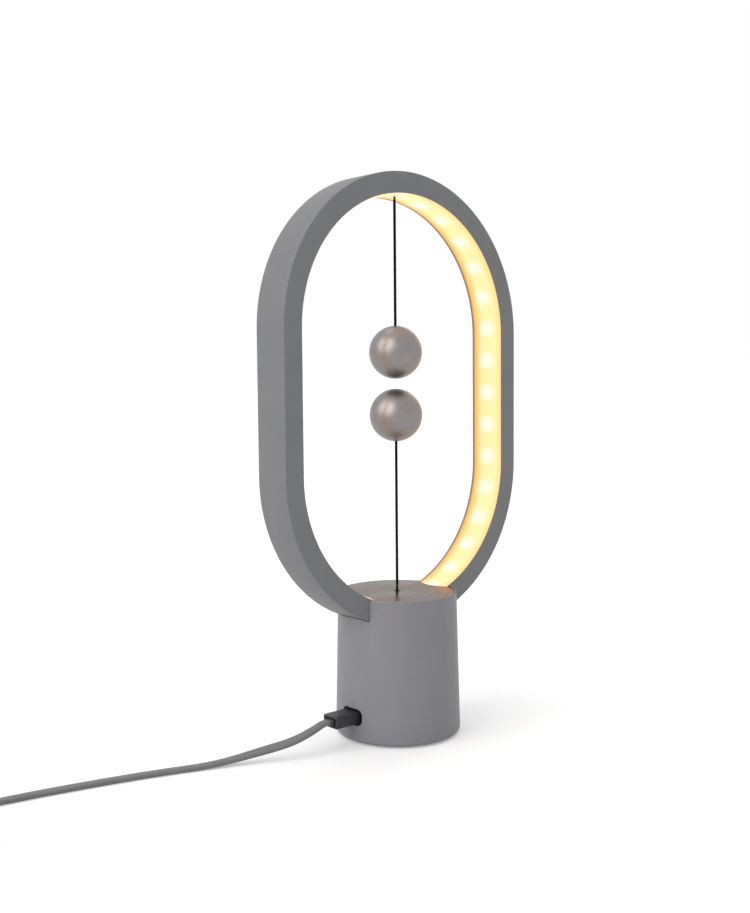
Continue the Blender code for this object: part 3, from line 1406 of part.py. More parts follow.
def build_led_leads():
    """Two leads from the light strip's right foot, through the ring's floor and down to the board."""
    run_radius = (STRIP_INNER_RADIUS + STRIP_OUTER_RADIUS) / 2 - GAP
    foot = STRIP_FOOT_ANGLE - (GAP + LEAD_RADIUS / 2) / run_radius
    way = LEAD_HOLE_OFFSET / RING_RADIUS
    drop_out, drop_row = LED_DROP_SHARES
    middle_row, middle_rise = LED_MIDDLE_SHARES
    end_row, end_rise = LED_END_SHARES
    for name, side, look in (("led_lead_red", -1, lead_red()), ("led_lead_black", 1, lead_black())):
        aside = side * LEAD_SPACING / 2
        row = aside - LEAD_ROW
        points = [channel_spot(foot, run_radius, aside)]
        for angle_share, row_share in CHANNEL_FOOT_SHARES:
            y = aside - LEAD_ROW * row_share
            points.append(channel_spot(foot * angle_share, run_radius - LEAD_RADIUS, y))
        points += [channel_spot(way * share, run_radius - LEAD_SPACING, row) for share in CHANNEL_WAY_SHARES]
        points += [
            (LEAD_HOLE_OFFSET, row, RING_BOTTOM),
            (LEAD_HOLE_OFFSET, row, CHASSIS_BOTTOM),
            (LEAD_HOLE_OFFSET * drop_out, aside - LEAD_ROW * drop_row, PLUNGER_TOP),
            (0, aside - LEAD_ROW * middle_row, height_over_board(middle_rise)),
            (lead_pad_x(), aside - LEAD_ROW * end_row, BOARD_TOP + LEAD_ROW * end_rise),
            (lead_pad_x(), aside - LEAD_ROW * end_row, BOARD_TOP + GAP),
        ]
        lead(name, points, look)


def build_switch_leads():
    """Two leads from the switch's end, under the plunger and down to the board."""
    height = SWITCH_BOTTOM + SWITCH_HEIGHT * SWITCH_LEAD_SHARE
    bend_row, bend_rise = SWITCH_BEND_SHARES
    middle_row, middle_rise = SWITCH_MIDDLE_SHARES
    end_row, end_rise = SWITCH_END_SHARES
    for name, side, look in (("switch_lead_red", -1, lead_red()), ("switch_lead_black", 1, lead_black())):
        aside = side * LEAD_SPACING
        points = [
            (SWITCH_END + GAP, aside, height),
            (SWITCH_END + LEAD_SPACING, aside, height),
            (SWITCH_END, aside + LEAD_ROW * bend_row, height_over_board(bend_rise)),
            (SWITCH_START, aside + LEAD_ROW * middle_row, height_over_board(middle_rise)),
            (lead_pad_x(), aside + LEAD_ROW * end_row, BOARD_TOP + LEAD_ROW * end_rise),
            (lead_pad_x(), aside + LEAD_ROW * end_row, BOARD_TOP + GAP),
        ]
        lead(name, points, look)


def height_over_board(share):
    """A height between the board and the plunger's top."""
    return BOARD_TOP + (PLUNGER_TOP - BOARD_TOP) * share


def lead_pad_x():
    return -BOARD_START + BOARD_LENGTH - LEAD_BOARD_INSET


def main():
    global PARTS, CUTTERS
    clear_scene()
    PARTS = new_collection("magnetic_balance_lamp")
    CUTTERS = new_collection("cutters", hidden=True)
    ring_space = ring_envelope()
    build_ring()
    build_diffuser()
    build_light_strip()
    build_anchor()
    build_housing(ring_space)
    build_disc(ring_space)
    build_grommet()
    build_cover()
    build_foot()
    build_weight()
    build_posts()
    build_chassis(ring_space)
    build_ring_screws()
    build_bush()
    build_plunger()
    build_spring()
    build_pull_cord()
    build_upper_ball()
    build_lower_ball()
    build_switch()
    build_button()
    build_lever()
    build_board()
    build_socket()
    build_surround()
    build_plug()
    build_cable()
    build_led_leads()
    build_switch_leads()


main()
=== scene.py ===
"""The looks of a magnetic balance lamp: a grey ring with a warm light, two metal balls and a round base.

Lengths are in metres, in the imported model's own frame: the table is z = 0 and the lamp's front faces -Y.
"""

import math

import bmesh
import bpy
from bpy.props import FloatProperty, FloatVectorProperty, IntProperty, PointerProperty
from mathutils import Matrix, Vector


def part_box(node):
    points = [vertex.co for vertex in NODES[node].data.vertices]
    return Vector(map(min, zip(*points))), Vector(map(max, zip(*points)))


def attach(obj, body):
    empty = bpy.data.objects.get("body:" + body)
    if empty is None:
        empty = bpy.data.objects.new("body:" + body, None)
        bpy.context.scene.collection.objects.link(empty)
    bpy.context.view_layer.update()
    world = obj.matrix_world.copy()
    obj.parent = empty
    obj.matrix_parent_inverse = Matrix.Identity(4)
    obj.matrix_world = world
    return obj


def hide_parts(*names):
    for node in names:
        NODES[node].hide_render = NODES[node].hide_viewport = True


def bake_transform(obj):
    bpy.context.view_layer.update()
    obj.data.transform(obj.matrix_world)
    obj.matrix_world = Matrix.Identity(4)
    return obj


bl_info = {
    "name": "Magnetic balance lamp",
    "version": (1, 0, 0),
    "blender": (4, 5, 0),
    "location": "3D View > Sidebar > Lamp",
    "description": "Builds a lamp whose light is switched by two balls that pull at each other",
    "category": "Add Mesh",
}

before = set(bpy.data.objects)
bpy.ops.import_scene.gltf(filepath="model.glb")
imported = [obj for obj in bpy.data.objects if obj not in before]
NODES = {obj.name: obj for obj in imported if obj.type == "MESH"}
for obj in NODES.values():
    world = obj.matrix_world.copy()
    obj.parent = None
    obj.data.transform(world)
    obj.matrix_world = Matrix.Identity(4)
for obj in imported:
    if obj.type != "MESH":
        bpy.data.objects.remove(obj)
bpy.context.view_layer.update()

QUARTER = math.radians(90)
HALF_TURN = math.radians(180)
FULL_TURN = math.radians(360)
ACROSS = Vector((1, 0, 0))
BACK = Vector((0, 1, 0))
UP = Vector((0, 0, 1))

# Vertices closer than WELD are merged, and edges steeper than SHARP stay sharp.
# GAP is the air between two pieces, and OVERRUN is how far a cutter reaches past what it cuts.
WELD = 0.000001
SHARP = math.radians(38)
GAP = 0.0003
OVERRUN = 0.002
ROUND_STEPS = 4
FINISH = "finish_"

# The cable's route: down from the plug, along the table and out of view.
CABLE_ROUTE = (
    (-0.0755, 0.0012, 0.0131),
    (-0.0865, 0.0040, 0.0098),
    (-0.0985, 0.0090, 0.0072),
    (-0.1105, 0.0142, 0.0049),
    (-0.1230, 0.0192, 0.0029),
    (-0.1400, 0.0255, 0.0016),
    (-0.1650, 0.0340, 0.0016),
    (-0.1900, 0.0410, 0.0016),
    (-0.2200, 0.0482, 0.0016),
    (-0.2500, 0.0538, 0.0016),
    (-0.2800, 0.0580, 0.0026),
    (-0.2980, 0.0598, 0.0034),
)
CABLE_STEP = 0.0032
CABLE_AIR_ROLL = math.radians(22)
CABLE_LANDING = -0.1300
CABLE_STANDING_UP = (-0.2420, -0.3120)
# Of the cable's tail: where it is along the way out and how far it has dropped, and where it lies down flat.
TAIL_DROP = ((0.40, 0.25), (0.70, 0.80))
TAIL_LYING_DOWN = (0.19, 0.81)

# The leads' routes inside the base, each from its light or switch down to the board.
LIGHT_LEAD = (
    (0.0374, 0.0000, 0.0831),
    (0.0319, -0.0008, 0.0815),
    (0.0227, -0.0062, 0.0788),
    (0.0154, -0.0078, 0.0782),
    (0.0100, -0.0078, 0.0775),
    (0.0095, -0.0078, 0.0726),
    (0.0095, -0.0078, 0.0560),
    (0.0076, -0.0094, 0.0440),
    (0.0000, -0.0101, 0.0264),
    (-0.0128, -0.0070, 0.0203),
    (-0.0128, -0.0070, 0.0159),
)
SWITCH_LEAD = (
    (0.0293, -0.0014, 0.0517),
    (0.0304, -0.0014, 0.0517),
    (0.0290, 0.0009, 0.0363),
    (0.0090, 0.0064, 0.0227),
    (-0.0128, 0.0041, 0.0195),
    (-0.0128, 0.0041, 0.0159),
)
# How far behind those routes the red and the black lead lie.
LIGHT_LEADS_ASIDE = (-0.0007, 0.0007)
SWITCH_LEADS_ASIDE = (0.0, 0.0028)
LEAD_RADIUS = 0.0005
LEAD_STEP = 0.0015

# The ring's holes: radii and places of those for the pull cord, the leads and the two screws.
CORD_HOLE = 0.0016
LEAD_HOLE = 0.0018
LEAD_HOLE_PLACE = (0.0095, -0.0078)
SCREW_HOLE = 0.0017
SCREW_ASIDE = 0.015

# The diffuser: faces from its middle to each edge, rounding of its edges, the cord's outlet
# and how far under the ring's top the outlet's cutter ends.
BULGE_STEPS = 5
DIFFUSER_EDGE = 0.00015
OUTLET = 0.0029
OUTLET_END = 0.008

# The base: how much thinner its wall is under the disc, the shelves that carry the disc and the cover,
# the holes of the disc and the bush, and the length of what cuts the plug's openings.
TAPER = 0.0001
SHELF = 0.0014
SHELF_HEIGHT = 0.0025
RIM_EDGE = 0.00015
DISC_HOLE = 0.0025
DISC_HOLE_EDGE = 0.0001
BUSH_HOLE = 0.0013
BUSH_RADIUS = 0.0022
BUSH_EDGES = (0.00015, 0.0002)
BUSH_STEPS = 48
OPENING_CUT = 0.0100

# The bottom cover with its screw holes, and the foot ring, whose groove's corners count from its outer side.
COVER_MARGIN = 0.0010
COVER = 0.0032
COVER_EDGE = 0.0003
COVER_SLOT_EDGE = 0.0001
COVER_SCREWS = (90, 210, 330)
SCREW_INSET = 0.0045
SCREW_HEAD_HOLE = 0.0030
SCREW_HEAD_DEPTH = 0.0021
FOOT_INSET = 0.0007
FOOT_WIDTH = 0.0045
FOOT_TOP = 0.0019
FOOT_EDGE = 0.0004
GROOVE_CORNERS = ((0.0017, 0, 0.0002), (0.00225, 0.0005, 0.0001), (0.0028, 0, 0.0002))

# Rounding of the balls' holes, and a strand's radius as a share of the cord's.
BALL_HOLE_EDGE = 0.00015
STRAND_SHARE = 0.42

# The return spring, with the faces round its wire and the steps of each turn.
SPRING_WIRE = 0.0004
SPRING_RADIUS = 0.0038
SPRING_TURNS = 5
SPRING_LOW = 0.0447
SPRING_HIGH = 0.0528
WIRE_SIDES = 10
TURN_STEPS = 28

# The studio lights: name, direction, width in degrees and tint. Their strengths are in StageSizes.
LIGHTS = (
    ("key", (-0.84, 0.02, 0.50), 56, (1.0, 0.975, 0.96)),
    ("top", (0.06, 0.18, 0.96), 44, (1.0, 0.985, 0.97)),
    ("side", (0.90, 0.22, 0.36), 30, (0.94, 0.97, 1.0)),
    ("shine", (-0.84, 0.02, 0.50), 64, (1.0, 0.96, 0.94)),
)


def length(description, default):
    return FloatProperty(description=description, default=default, min=0.0, precision=5, unit="LENGTH")


def position(description, default):
    return FloatProperty(description=description, default=default, precision=5, unit="LENGTH")


def angle(description, degrees):
    return FloatProperty(description=description, default=math.radians(degrees), unit="ROTATION")


def amount(description, default):
    return FloatProperty(description=description, default=default, min=0.0)


def count(description, default):
    return IntProperty(description=description, default=default, min=1)


def color(description, default):
    return FloatVectorProperty(
        description=description, default=default, subtype="COLOR", size=3, min=0.0, max=4.0
    )


class RingSizes(bpy.types.PropertyGroup):
    """The upright ring, a channel open towards its middle."""

    top: length("Height of the ring's highest point over the table", 0.360)
    bottom: length("Height of the ring's lowest point, inside the base", 0.0726)
    radius: length("Outer radius of the ring's two half circles", 0.100)
    thickness: length("From the ring's outer side to its inner side", 0.0134)
    depth: length("From the ring's front face to its back face", 0.0268)
    floor: length("Thickness of the channel's floor", 0.0020)
    cheek: length("Thickness of the channel's two sides", 0.0024)
    front_lip: length("Width of the lip in front of the diffuser", 0.0004)
    back_lip: length("Width of the lip behind the diffuser", 0.0012)
    edge: length("Rounding of the ring's outer edges", 0.00045)
    lip_edge: length("Rounding of the lips' inner edges", 0.00020)
    steps: count("Faces along each half circle", 144)


class LightSizes(bpy.types.PropertyGroup):
    """The diffuser in the ring and how it glows."""

    thickness: length("Thickness of the diffuser at its edges", 0.0018)
    bulge: length("How far the diffuser's middle stands out from its edges", 0.0014)
    calm: length("Length beside the cord's outlet along which the bulge grows", 0.024)
    hairline: length("Gap between the diffuser and the lips", 0.00005)
    foot: angle("Where the diffuser ends, from straight down", 20)
    pitch: length("Distance between two lights behind the diffuser", 0.0221)
    strength: amount("Strength of the glow", 1.75)
    hot: color("Glow right over a light", (0.76, 0.545, 0.48))
    middle: color("Glow along the diffuser's middle", (0.84, 0.495, 0.224))
    front: color("Glow along the diffuser's front edge", (0.76, 0.430, 0.160))
    back: color("Glow along the diffuser's back edge", (0.72, 0.318, 0.062))
    rim: color("Glow at the diffuser's outermost back edge", (0.24, 0.120, 0.028))


class BaseSizes(bpy.types.PropertyGroup):
    """The round base with its top disc and the bush that the cord passes."""

    height: length("Height of the base", 0.0925)
    bottom_radius: length("Radius of the base at the table", 0.0408)
    top_radius: length("Radius of the base at its top", 0.0386)
    wall: length("Thickness of the base's wall", 0.0024)
    foot_rounding: length("Rounding of the lower edge", 0.0028)
    top_rounding: length("Rounding of the upper edge", 0.0004)
    reveal: length("Height of the base's lower edge over the table", 0.0010)
    rim: length("Width of the thin rim round the top disc", 0.0008)
    disc_thickness: length("Thickness of the top disc", 0.0015)
    disc_edge: length("Rounding of the top disc's edge", 0.00025)
    steps: count("Faces round the base", 192)


class BallSizes(bpy.types.PropertyGroup):
    """The two balls, each of two half shells."""

    radius: length("Outer radius of each ball", 0.0170)
    wall: length("Thickness of each shell", 0.0020)
    upper: length("Height of the upper ball's middle", 0.2474)
    lower: length("Height of the lower ball's middle", 0.2070)
    seam: length("Width of the hairline where the two halves meet", 0.00002)
    hole: length("Radius of the hole that a cord passes", 0.0012)
    steps: count("Faces round each ball", 96)
    outer_steps: count("Faces from the seam to the pole, outside", 40)
    inner_steps: count("Faces from the seam to the pole, inside", 20)


class CordSizes(bpy.types.PropertyGroup):
    """The twisted cords that hold the balls and pull the switch."""

    radius: length("Radius of each cord", 0.0009)
    lay: length("Length in which a strand goes once round the cord", 0.0042)
    strands: count("Strands that are twisted into a cord", 6)
    strand_sides: count("Faces round a strand", 10)
    lay_steps: count("Steps in which a strand goes once round the cord", 18)
    reach: length("How far a cord's ends reach into its knot", 0.00025)
    upper_pivot: length("Height of the knot in the ring's top", 0.3454)
    lower_pivot: length("Height of the knot over the top disc", 0.0955)


class PlugSizes(bpy.types.PropertyGroup):
    """The plug in the base's side and the opening round it."""

    axis: length("Height of the plug's middle", 0.01735)
    front: length("How far the plug's front is from the lamp's middle", 0.0352)
    end: length("How far the plug's back is from the lamp's middle", 0.0581)
    width: length("Width of the plug", 0.0130)
    height: length("Height of the plug", 0.0075)
    edge: length("Rounding of the plug's edges", 0.0008)
    pocket_width: length("Width of the pocket round the cable", 0.0105)
    pocket_height: length("Height of the pocket round the cable", 0.0055)
    pocket_depth: length("Depth of the pocket round the cable", 0.0014)
    pocket_corner: length("Rounding of the pocket's corners", 0.0009)
    groove: length("Width of the groove between the pocket and the collar in it", 0.0007)
    collar_edge: length("Rounding of the collar's edges", 0.0006)
    reach: length("How far the collar stands out of the plug's back", 0.0015)
    slack: length("How much wider than the cable the collar's hole is", 0.0001)
    opening_width: length("Width of the opening in the base's wall", 0.0180)
    opening_height: length("Height of the opening in the base's wall", 0.0107)
    opening_corner: length("Rounding of the opening's corners", 0.0040)


class CableSizes(bpy.types.PropertyGroup):
    """The flat charging cable, its coil and the plug at its far end."""

    width: length("Width of the flat cable", 0.0065)
    thickness: length("Thickness of the flat cable", 0.0028)
    lift: length("Height of the cable's lower side over the table", 0.0002)
    coil_x: position("Middle of the coil", -0.3240)
    coil_y: position("Middle of the coil", 0.0180)
    coil_radius: length("Radius of the coil's outermost turn", 0.0420)
    coil_pitch: length("From one turn of the coil to the next", 0.0050)
    coil_turns: count("Turns of the coil", 3)
    turn_steps: count("Steps in which the cable goes once round the coil", 72)
    layer_gap: length("Gap between the coil's two layers", 0.0007)
    end_length: length("Length from the coil to the far plug", 0.0500)
    plug_length: length("Length of the far plug's body", 0.0240)
    plug_width: length("Width of the far plug's body", 0.0160)
    plug_height: length("Height of the far plug's body", 0.0080)
    plug_edge: length("Rounding of the far plug's edges", 0.0015)
    shell_length: length("Length of the far plug's metal shell", 0.0187)
    shell_width: length("Width of the far plug's metal shell", 0.0120)
    shell_height: length("Height of the far plug's metal shell", 0.0045)
    shell_wall: length("Thickness of the shell's wall", 0.0003)
    tongue: length("Thickness of the far plug's tongue", 0.0018)


class Colors(bpy.types.PropertyGroup):
    """The colours of the lamp's finishes."""

    # The ring's and the base's greys are two copies of one paint: the ring's is darker as painted shade, and
    # the base's is lighter as painted light.
    ring: color("Matt grey paint of the ring", (0.208, 0.212, 0.222))
    base: color("Matt grey paint of the base", (0.258, 0.257, 0.280))
    balls: color("Satin metal of the balls", (0.252, 0.240, 0.236))
    disc: color("Turned metal of the top disc", (0.30, 0.275, 0.265))
    cord: color("Black cord", (0.004, 0.004, 0.004))
    plug: color("Dark plastic of the plug", (0.015, 0.015, 0.018))
    cable: color("Grey sheath of the cable", (0.165, 0.165, 0.172))


class StageSizes(bpy.types.PropertyGroup):
    """The camera, the floor and the studio light."""

    eye: FloatVectorProperty(
        description="Where the camera stands",
        default=(-0.4927, -0.5291, 0.2303),
        subtype="XYZ",
        unit="LENGTH",
    )
    heading: angle("Where the camera looks, from +Y towards +X", 41.87)
    pitch: angle("How far the camera looks up", -3.96)
    roll: angle("How far the camera leans", -0.48)
    lens: FloatProperty(description="Focal length", default=44.1, unit="CAMERA")
    floor: length("Half the floor's width", 30.0)
    floor_glow: amount("Glow that makes the floor white to the camera", 0.28)
    sky: amount("Strength of the light from all sides", 0.56)
    key: amount("Strength of the soft light from the left", 1.14)
    top: amount("Strength of the soft light from above", 0.55)
    side: amount("Strength of the faint light from the right", 0.30)
    shine: amount("Strength of the light that only adds highlights", 1.55)


def shader_of(look):
    return look.node_tree.nodes["Principled BSDF"]


def set_sockets(look, **values):
    """Sets the shader's own sockets. Their names are written with underscores."""
    for name, value in values.items():
        shader_of(look).inputs[name.replace("_", " ")].default_value = value


def new_material(name, paint, roughness, metallic=0.0):
    """A material with its shader's own sockets set, and its node tree ready for more."""
    look = bpy.data.materials.new(FINISH + name)
    look.use_nodes = True
    set_sockets(look, Base_Color=(*paint, 1.0), Roughness=roughness, Metallic=metallic)
    look.diffuse_color = (*paint, 1.0)
    return look


def add_node(look, kind, **settings):
    node = look.node_tree.nodes.new(kind)
    for name, value in settings.items():
        setattr(node, name, value)
    return node


def join(look, out_socket, in_socket):
    look.node_tree.links.new(out_socket, in_socket)


def place_on_object(look, scale=(1, 1, 1)):
    """Object coordinates, stretched by scale."""
    coordinates = add_node(look, "ShaderNodeTexCoord")
    mapping = add_node(look, "ShaderNodeMapping")
    mapping.inputs["Scale"].default_value = scale
    join(look, coordinates.outputs["Object"], mapping.inputs["Vector"])
    return mapping.outputs["Vector"]


def noise(look, place, scale, detail=3.0, roughness=0.55):
    node = add_node(look, "ShaderNodeTexNoise")
    for name, value in (("Scale", scale), ("Detail", detail), ("Roughness", roughness)):
        node.inputs[name].default_value = value
    join(look, place, node.inputs["Vector"])
    return node.outputs["Fac"]


def between_values(look, value, low, high, start=0.3, end=0.7):
    """A number that goes from low to high while value goes from start to end."""
    node = add_node(look, "ShaderNodeMapRange")
    for name, setting in (("From Min", start), ("From Max", end), ("To Min", low), ("To Max", high)):
        node.inputs[name].default_value = setting
    join(look, value, node.inputs["Value"])
    return node.outputs["Result"]


def color_steps(look, value, steps):
    """A colour that runs through steps of (position, colour) as value goes from 0 to 1.

    The first two steps take the ramp's own two stops, so that they are its first and its last one.
    """
    node = add_node(look, "ShaderNodeValToRGB")
    stops = node.color_ramp.elements
    for i, (place, shade) in enumerate(steps):
        stop = stops[i] if i < 2 else stops.new(place)
        stop.position = place
        stop.color = (*shade, 1.0)
    join(look, value, node.inputs["Fac"])
    return node.outputs["Color"]


def raise_surface(look, height, distance, strength=1.0):
    """Bumps the surface by a height from 0 to 1 that stands for distance."""
    node = add_node(look, "ShaderNodeBump")
    node.inputs["Strength"].default_value = strength
    node.inputs["Distance"].default_value = distance
    join(look, height, node.inputs["Height"])
    join(look, node.outputs["Normal"], shader_of(look).inputs["Normal"])


def math_node(look, operation, first, second=None):
    node = add_node(look, "ShaderNodeMath", operation=operation)
    for socket, value in zip(node.inputs, (first, second)):
        if isinstance(value, (int, float)):
            socket.default_value = value
        elif value is not None:
            join(look, value, socket)
    return node.outputs["Value"]


def shaded(paint, factor):
    return tuple(part * factor for part in paint)


def tint(look, value, dark, light):
    """Lets the colour go from dark to light with a noise."""
    shade = color_steps(look, value, ((0.3, dark), (0.7, light)))
    join(look, shade, shader_of(look).inputs["Base Color"])


def roughen(look, value, roughness, less, more):
    """Lets the roughness go from a little less to a little more with a noise."""
    rough = between_values(look, value, roughness - less, roughness + more)
    join(look, rough, shader_of(look).inputs["Roughness"])


def grained(name, paint, roughness, metallic, tone, grain, bump):
    """A finish with cloudy tones and a fine grain.

    tone: the clouds' scale and detail, and the darkest and the lightest share of the paint
    grain: the grain's scale and detail, and how much it lowers and raises the roughness
    bump: the height that the grain stands for, and its strength
    """
    look = new_material(name, paint, roughness, metallic)
    place = place_on_object(look)
    scale, detail, dark, light = tone
    tint(look, noise(look, place, scale, detail), shaded(paint, dark), shaded(paint, light))
    scale, detail, less, more = grain
    fine = noise(look, place, scale, detail)
    roughen(look, fine, roughness, less, more)
    raise_surface(look, fine, *bump)
    return look


def matt_paint(name, paint):
    """Fine powder paint: an even grey with a soft grain and faint cloudy wear."""
    look = grained(name, paint, 0.52, 0.0, (38, 4, 0.965, 1.035), (2600, 2, 0.05, 0.08), (0.00004, 0.55))
    set_sockets(look, Specular_IOR_Level=0.27)
    return look


def satin_metal(name, paint):
    """Blasted and brushed metal of the balls, with very fine scratches."""
    return grained(name, paint, 0.40, 1.0, (160, 4, 0.95, 1.05), (3800, 2, 0.03, 0.03), (0.00001, 0.3))


def moulded_plastic(name, paint, roughness):
    """Plastic from a mould with a fine spark-eroded grain."""
    return grained(name, paint, roughness, 0.0, (60, 3, 0.93, 1.07), (1500, 3, 0.05, 0.06), (0.00003, 0.5))


def machined_metal(name, paint, roughness):
    """Bare metal with tool marks."""
    return grained(name, paint, roughness, 1.0, (120, 4, 0.86, 1.06), (1400, 4, 0.07, 0.09), (0.00002, 0.5))


def cable_sheath(name, paint):
    """Soft matt sheath of the flat cable."""
    return grained(name, paint, 0.50, 0.0, (90, 4, 0.93, 1.06), (2200, 2, 0.05, 0.06), (0.00003, 0.4))


def lead_sheath(name, paint):
    """Smooth sheath of the thin leads."""
    look = new_material(name, paint, 0.38)
    tone = noise(look, place_on_object(look), 900)
    tint(look, tone, shaded(paint, 0.85), shaded(paint, 1.15))
    raise_surface(look, tone, 0.00003, 0.4)
    return look


def cord_fibre(name, paint):
    """Twisted black yarn: dull, with a faint fuzz on its strands."""
    look = new_material(name, paint, 0.80)
    fibres = noise(look, place_on_object(look, (1, 1, 0.35)), 5200)
    tint(look, fibres, shaded(paint, 0.6), shaded(paint, 2.2))
    set_sockets(look, Specular_IOR_Level=0.08, Sheen_Weight=0.01, Sheen_Roughness=0.5)
    raise_surface(look, fibres, 0.00006, 0.7)
    return look


def soft_rubber(name, paint):
    """Dull rubber with a little dust on it."""
    look = new_material(name, paint, 0.82)
    place = place_on_object(look)
    tint(look, noise(look, place, 420, 5), (0.014, 0.014, 0.015), (0.032, 0.031, 0.030))
    raise_surface(look, noise(look, place, 2400), 0.00004, 0.6)
    return look


def rough_iron(name, paint):
    """Sand-cast iron, pitted and dull."""
    look = new_material(name, paint, 0.72, 0.6)
    sand = noise(look, place_on_object(look), 700, 6, 0.7)
    tint(look, sand, (0.055, 0.052, 0.050), (0.16, 0.155, 0.15))
    raise_surface(look, sand, 0.00022, 0.8)
    return look


def circuit_board(name, paint):
    """Green board with darker tracks under its lacquer."""
    look = new_material(name, paint, 0.32)
    bricks = add_node(look, "ShaderNodeTexBrick")
    for socket, value in (
        ("Scale", 420.0),
        ("Mortar Size", 0.035),
        ("Color1", (0.018, 0.15, 0.060, 1)),
        ("Color2", (0.014, 0.12, 0.048, 1)),
        ("Mortar", (0.035, 0.22, 0.090, 1)),
    ):
        bricks.inputs[socket].default_value = value
    join(look, place_on_object(look), bricks.inputs["Vector"])
    join(look, bricks.outputs["Color"], shader_of(look).inputs["Base Color"])
    raise_surface(look, bricks.outputs["Fac"], 0.00003, 0.5)
    set_sockets(look, Coat_Weight=0.3)
    return look


def distance_from_axis(look):
    """How far a point is from the lamp's upright axis."""
    flat = place_on_object(look, (1, 1, 0))
    size = add_node(look, "ShaderNodeVectorMath", operation="LENGTH")
    join(look, flat, size.inputs[0])
    return size.outputs["Value"]


def turned_metal(name, paint):
    """Metal with the fine rings that a lathe leaves."""
    roughness = 0.25
    look = new_material(name, paint, roughness, 1.0)
    rings = add_node(look, "ShaderNodeTexNoise", noise_dimensions="1D")
    rings.inputs["Scale"].default_value = 5200.0
    rings.inputs["Detail"].default_value = 2.0
    join(look, distance_from_axis(look), rings.inputs["W"])
    tint(look, rings.outputs["Fac"], shaded(paint, 0.90), shaded(paint, 1.08))
    roughen(look, rings.outputs["Fac"], roughness, 0.03, 0.03)
    raise_surface(look, rings.outputs["Fac"], 0.000012, 0.6)
    set_sockets(look, Anisotropic=0.5, Specular_Tint=(0.62, 0.59, 0.58, 1.0))
    tangent = add_node(look, "ShaderNodeTangent", direction_type="RADIAL", axis="Z")
    join(look, tangent.outputs["Tangent"], shader_of(look).inputs["Tangent"])
    return look


def mixed(look, share, first, second):
    """A colour between first, where share is 0, and second, where it is 1."""
    node = add_node(look, "ShaderNodeMix", data_type="RGBA")
    join(look, share, node.inputs["Factor"])
    start, end = [socket for socket in node.inputs if socket.type == "RGBA"]
    join(look, first, start)
    end.default_value = (*second, 1.0)
    return next(socket for socket in node.outputs if socket.type == "RGBA")


def lit_diffuser(name, paint):
    """Frosted plastic with a row of lights behind it; its UV map runs along the strip and across it."""
    light = bpy.context.scene.lamp_light
    look = new_material(name, paint, 0.45)
    strip = add_node(look, "ShaderNodeUVMap", uv_map="strip")
    parts = add_node(look, "ShaderNodeSeparateXYZ")
    join(look, strip.outputs["UV"], parts.inputs["Vector"])
    steps = (
        (0.0, shaded(light.front, 0.9)),
        (1.0, light.rim),
        (0.04, light.front),
        (0.18, light.middle),
        (0.60, light.middle),
        (0.87, light.back),
    )
    glow_across = color_steps(look, parts.outputs["Y"], steps)
    turns = math_node(look, "MULTIPLY", parts.outputs["X"], FULL_TURN)
    along = between_values(look, math_node(look, "COSINE", turns), 0.0, 1.0, -0.35, 0.95)
    lights_at = 0.47
    aside = math_node(look, "ABSOLUTE", math_node(look, "SUBTRACT", parts.outputs["Y"], lights_at))
    inwards = between_values(look, aside, 1.0, 0.0, 0.03, 0.36)
    over_light = math_node(look, "MULTIPLY", along, inwards)
    glow = mixed(look, over_light, glow_across, light.hot)
    join(look, glow, shader_of(look).inputs["Emission Color"])
    set_sockets(look, Emission_Strength=light.strength, Specular_IOR_Level=0.25)
    raise_surface(look, noise(look, place_on_object(look), 1800, 2), 0.00003, 0.4)
    return look


def seen_directly(look):
    """1 where the camera, a shiny surface or clear glass sees it, and else 0."""
    ray = add_node(look, "ShaderNodeLightPath")
    seen = math_node(look, "MAXIMUM", ray.outputs["Is Camera Ray"], ray.outputs["Is Glossy Ray"])
    return math_node(look, "MAXIMUM", seen, ray.outputs["Is Transmission Ray"])


def floor_surface(glow):
    """A pale floor that shows white to the camera and still takes soft shadows."""
    look = new_material("pale_floor", (0.88, 0.88, 0.88), 0.9)
    set_sockets(look, Specular_IOR_Level=0.0, Emission_Color=(1, 1, 1, 1))
    join(
        look,
        math_node(look, "MULTIPLY", seen_directly(look), glow),
        shader_of(look).inputs["Emission Strength"],
    )
    return look


# Each finish: how it is made, its colour or the colour's name in Colors, and its roughness where the
# way it is made leaves that open.
FINISHES = {
    # One grey paint in two copies: the ring's is darker as painted shade, and the base's is lighter as
    # painted light.
    "ring_paint": (matt_paint, "ring"),
    "base_paint": (matt_paint, "base"),
    "satin_metal": (satin_metal, "balls"),
    "turned_metal": (turned_metal, "disc"),
    "black_cord": (cord_fibre, "cord"),
    "cable_plastic": (cable_sheath, "cable"),
    "plug_plastic": (moulded_plastic, "plug", 0.45),
    "black_plastic": (moulded_plastic, (0.016, 0.016, 0.017), 0.50),
    "white_plastic": (moulded_plastic, (0.55, 0.55, 0.54), 0.45),
    "steel": (machined_metal, (0.56, 0.56, 0.57), 0.30),
    "brass": (machined_metal, (0.66, 0.47, 0.20), 0.30),
    "gold_contact": (machined_metal, (0.85, 0.62, 0.25), 0.22),
    "magnet_metal": (machined_metal, (0.66, 0.66, 0.67), 0.16),
    "lead_red": (lead_sheath, (0.45, 0.02, 0.02)),
    "lead_black": (lead_sheath, (0.015, 0.015, 0.015)),
    "black_rubber": (soft_rubber, (0.020, 0.020, 0.021)),
    "cast_iron": (rough_iron, (0.10, 0.10, 0.105)),
    "board_green": (circuit_board, (0.02, 0.15, 0.06)),
    "lit_diffuser": (lit_diffuser, (0.06, 0.055, 0.045)),
}

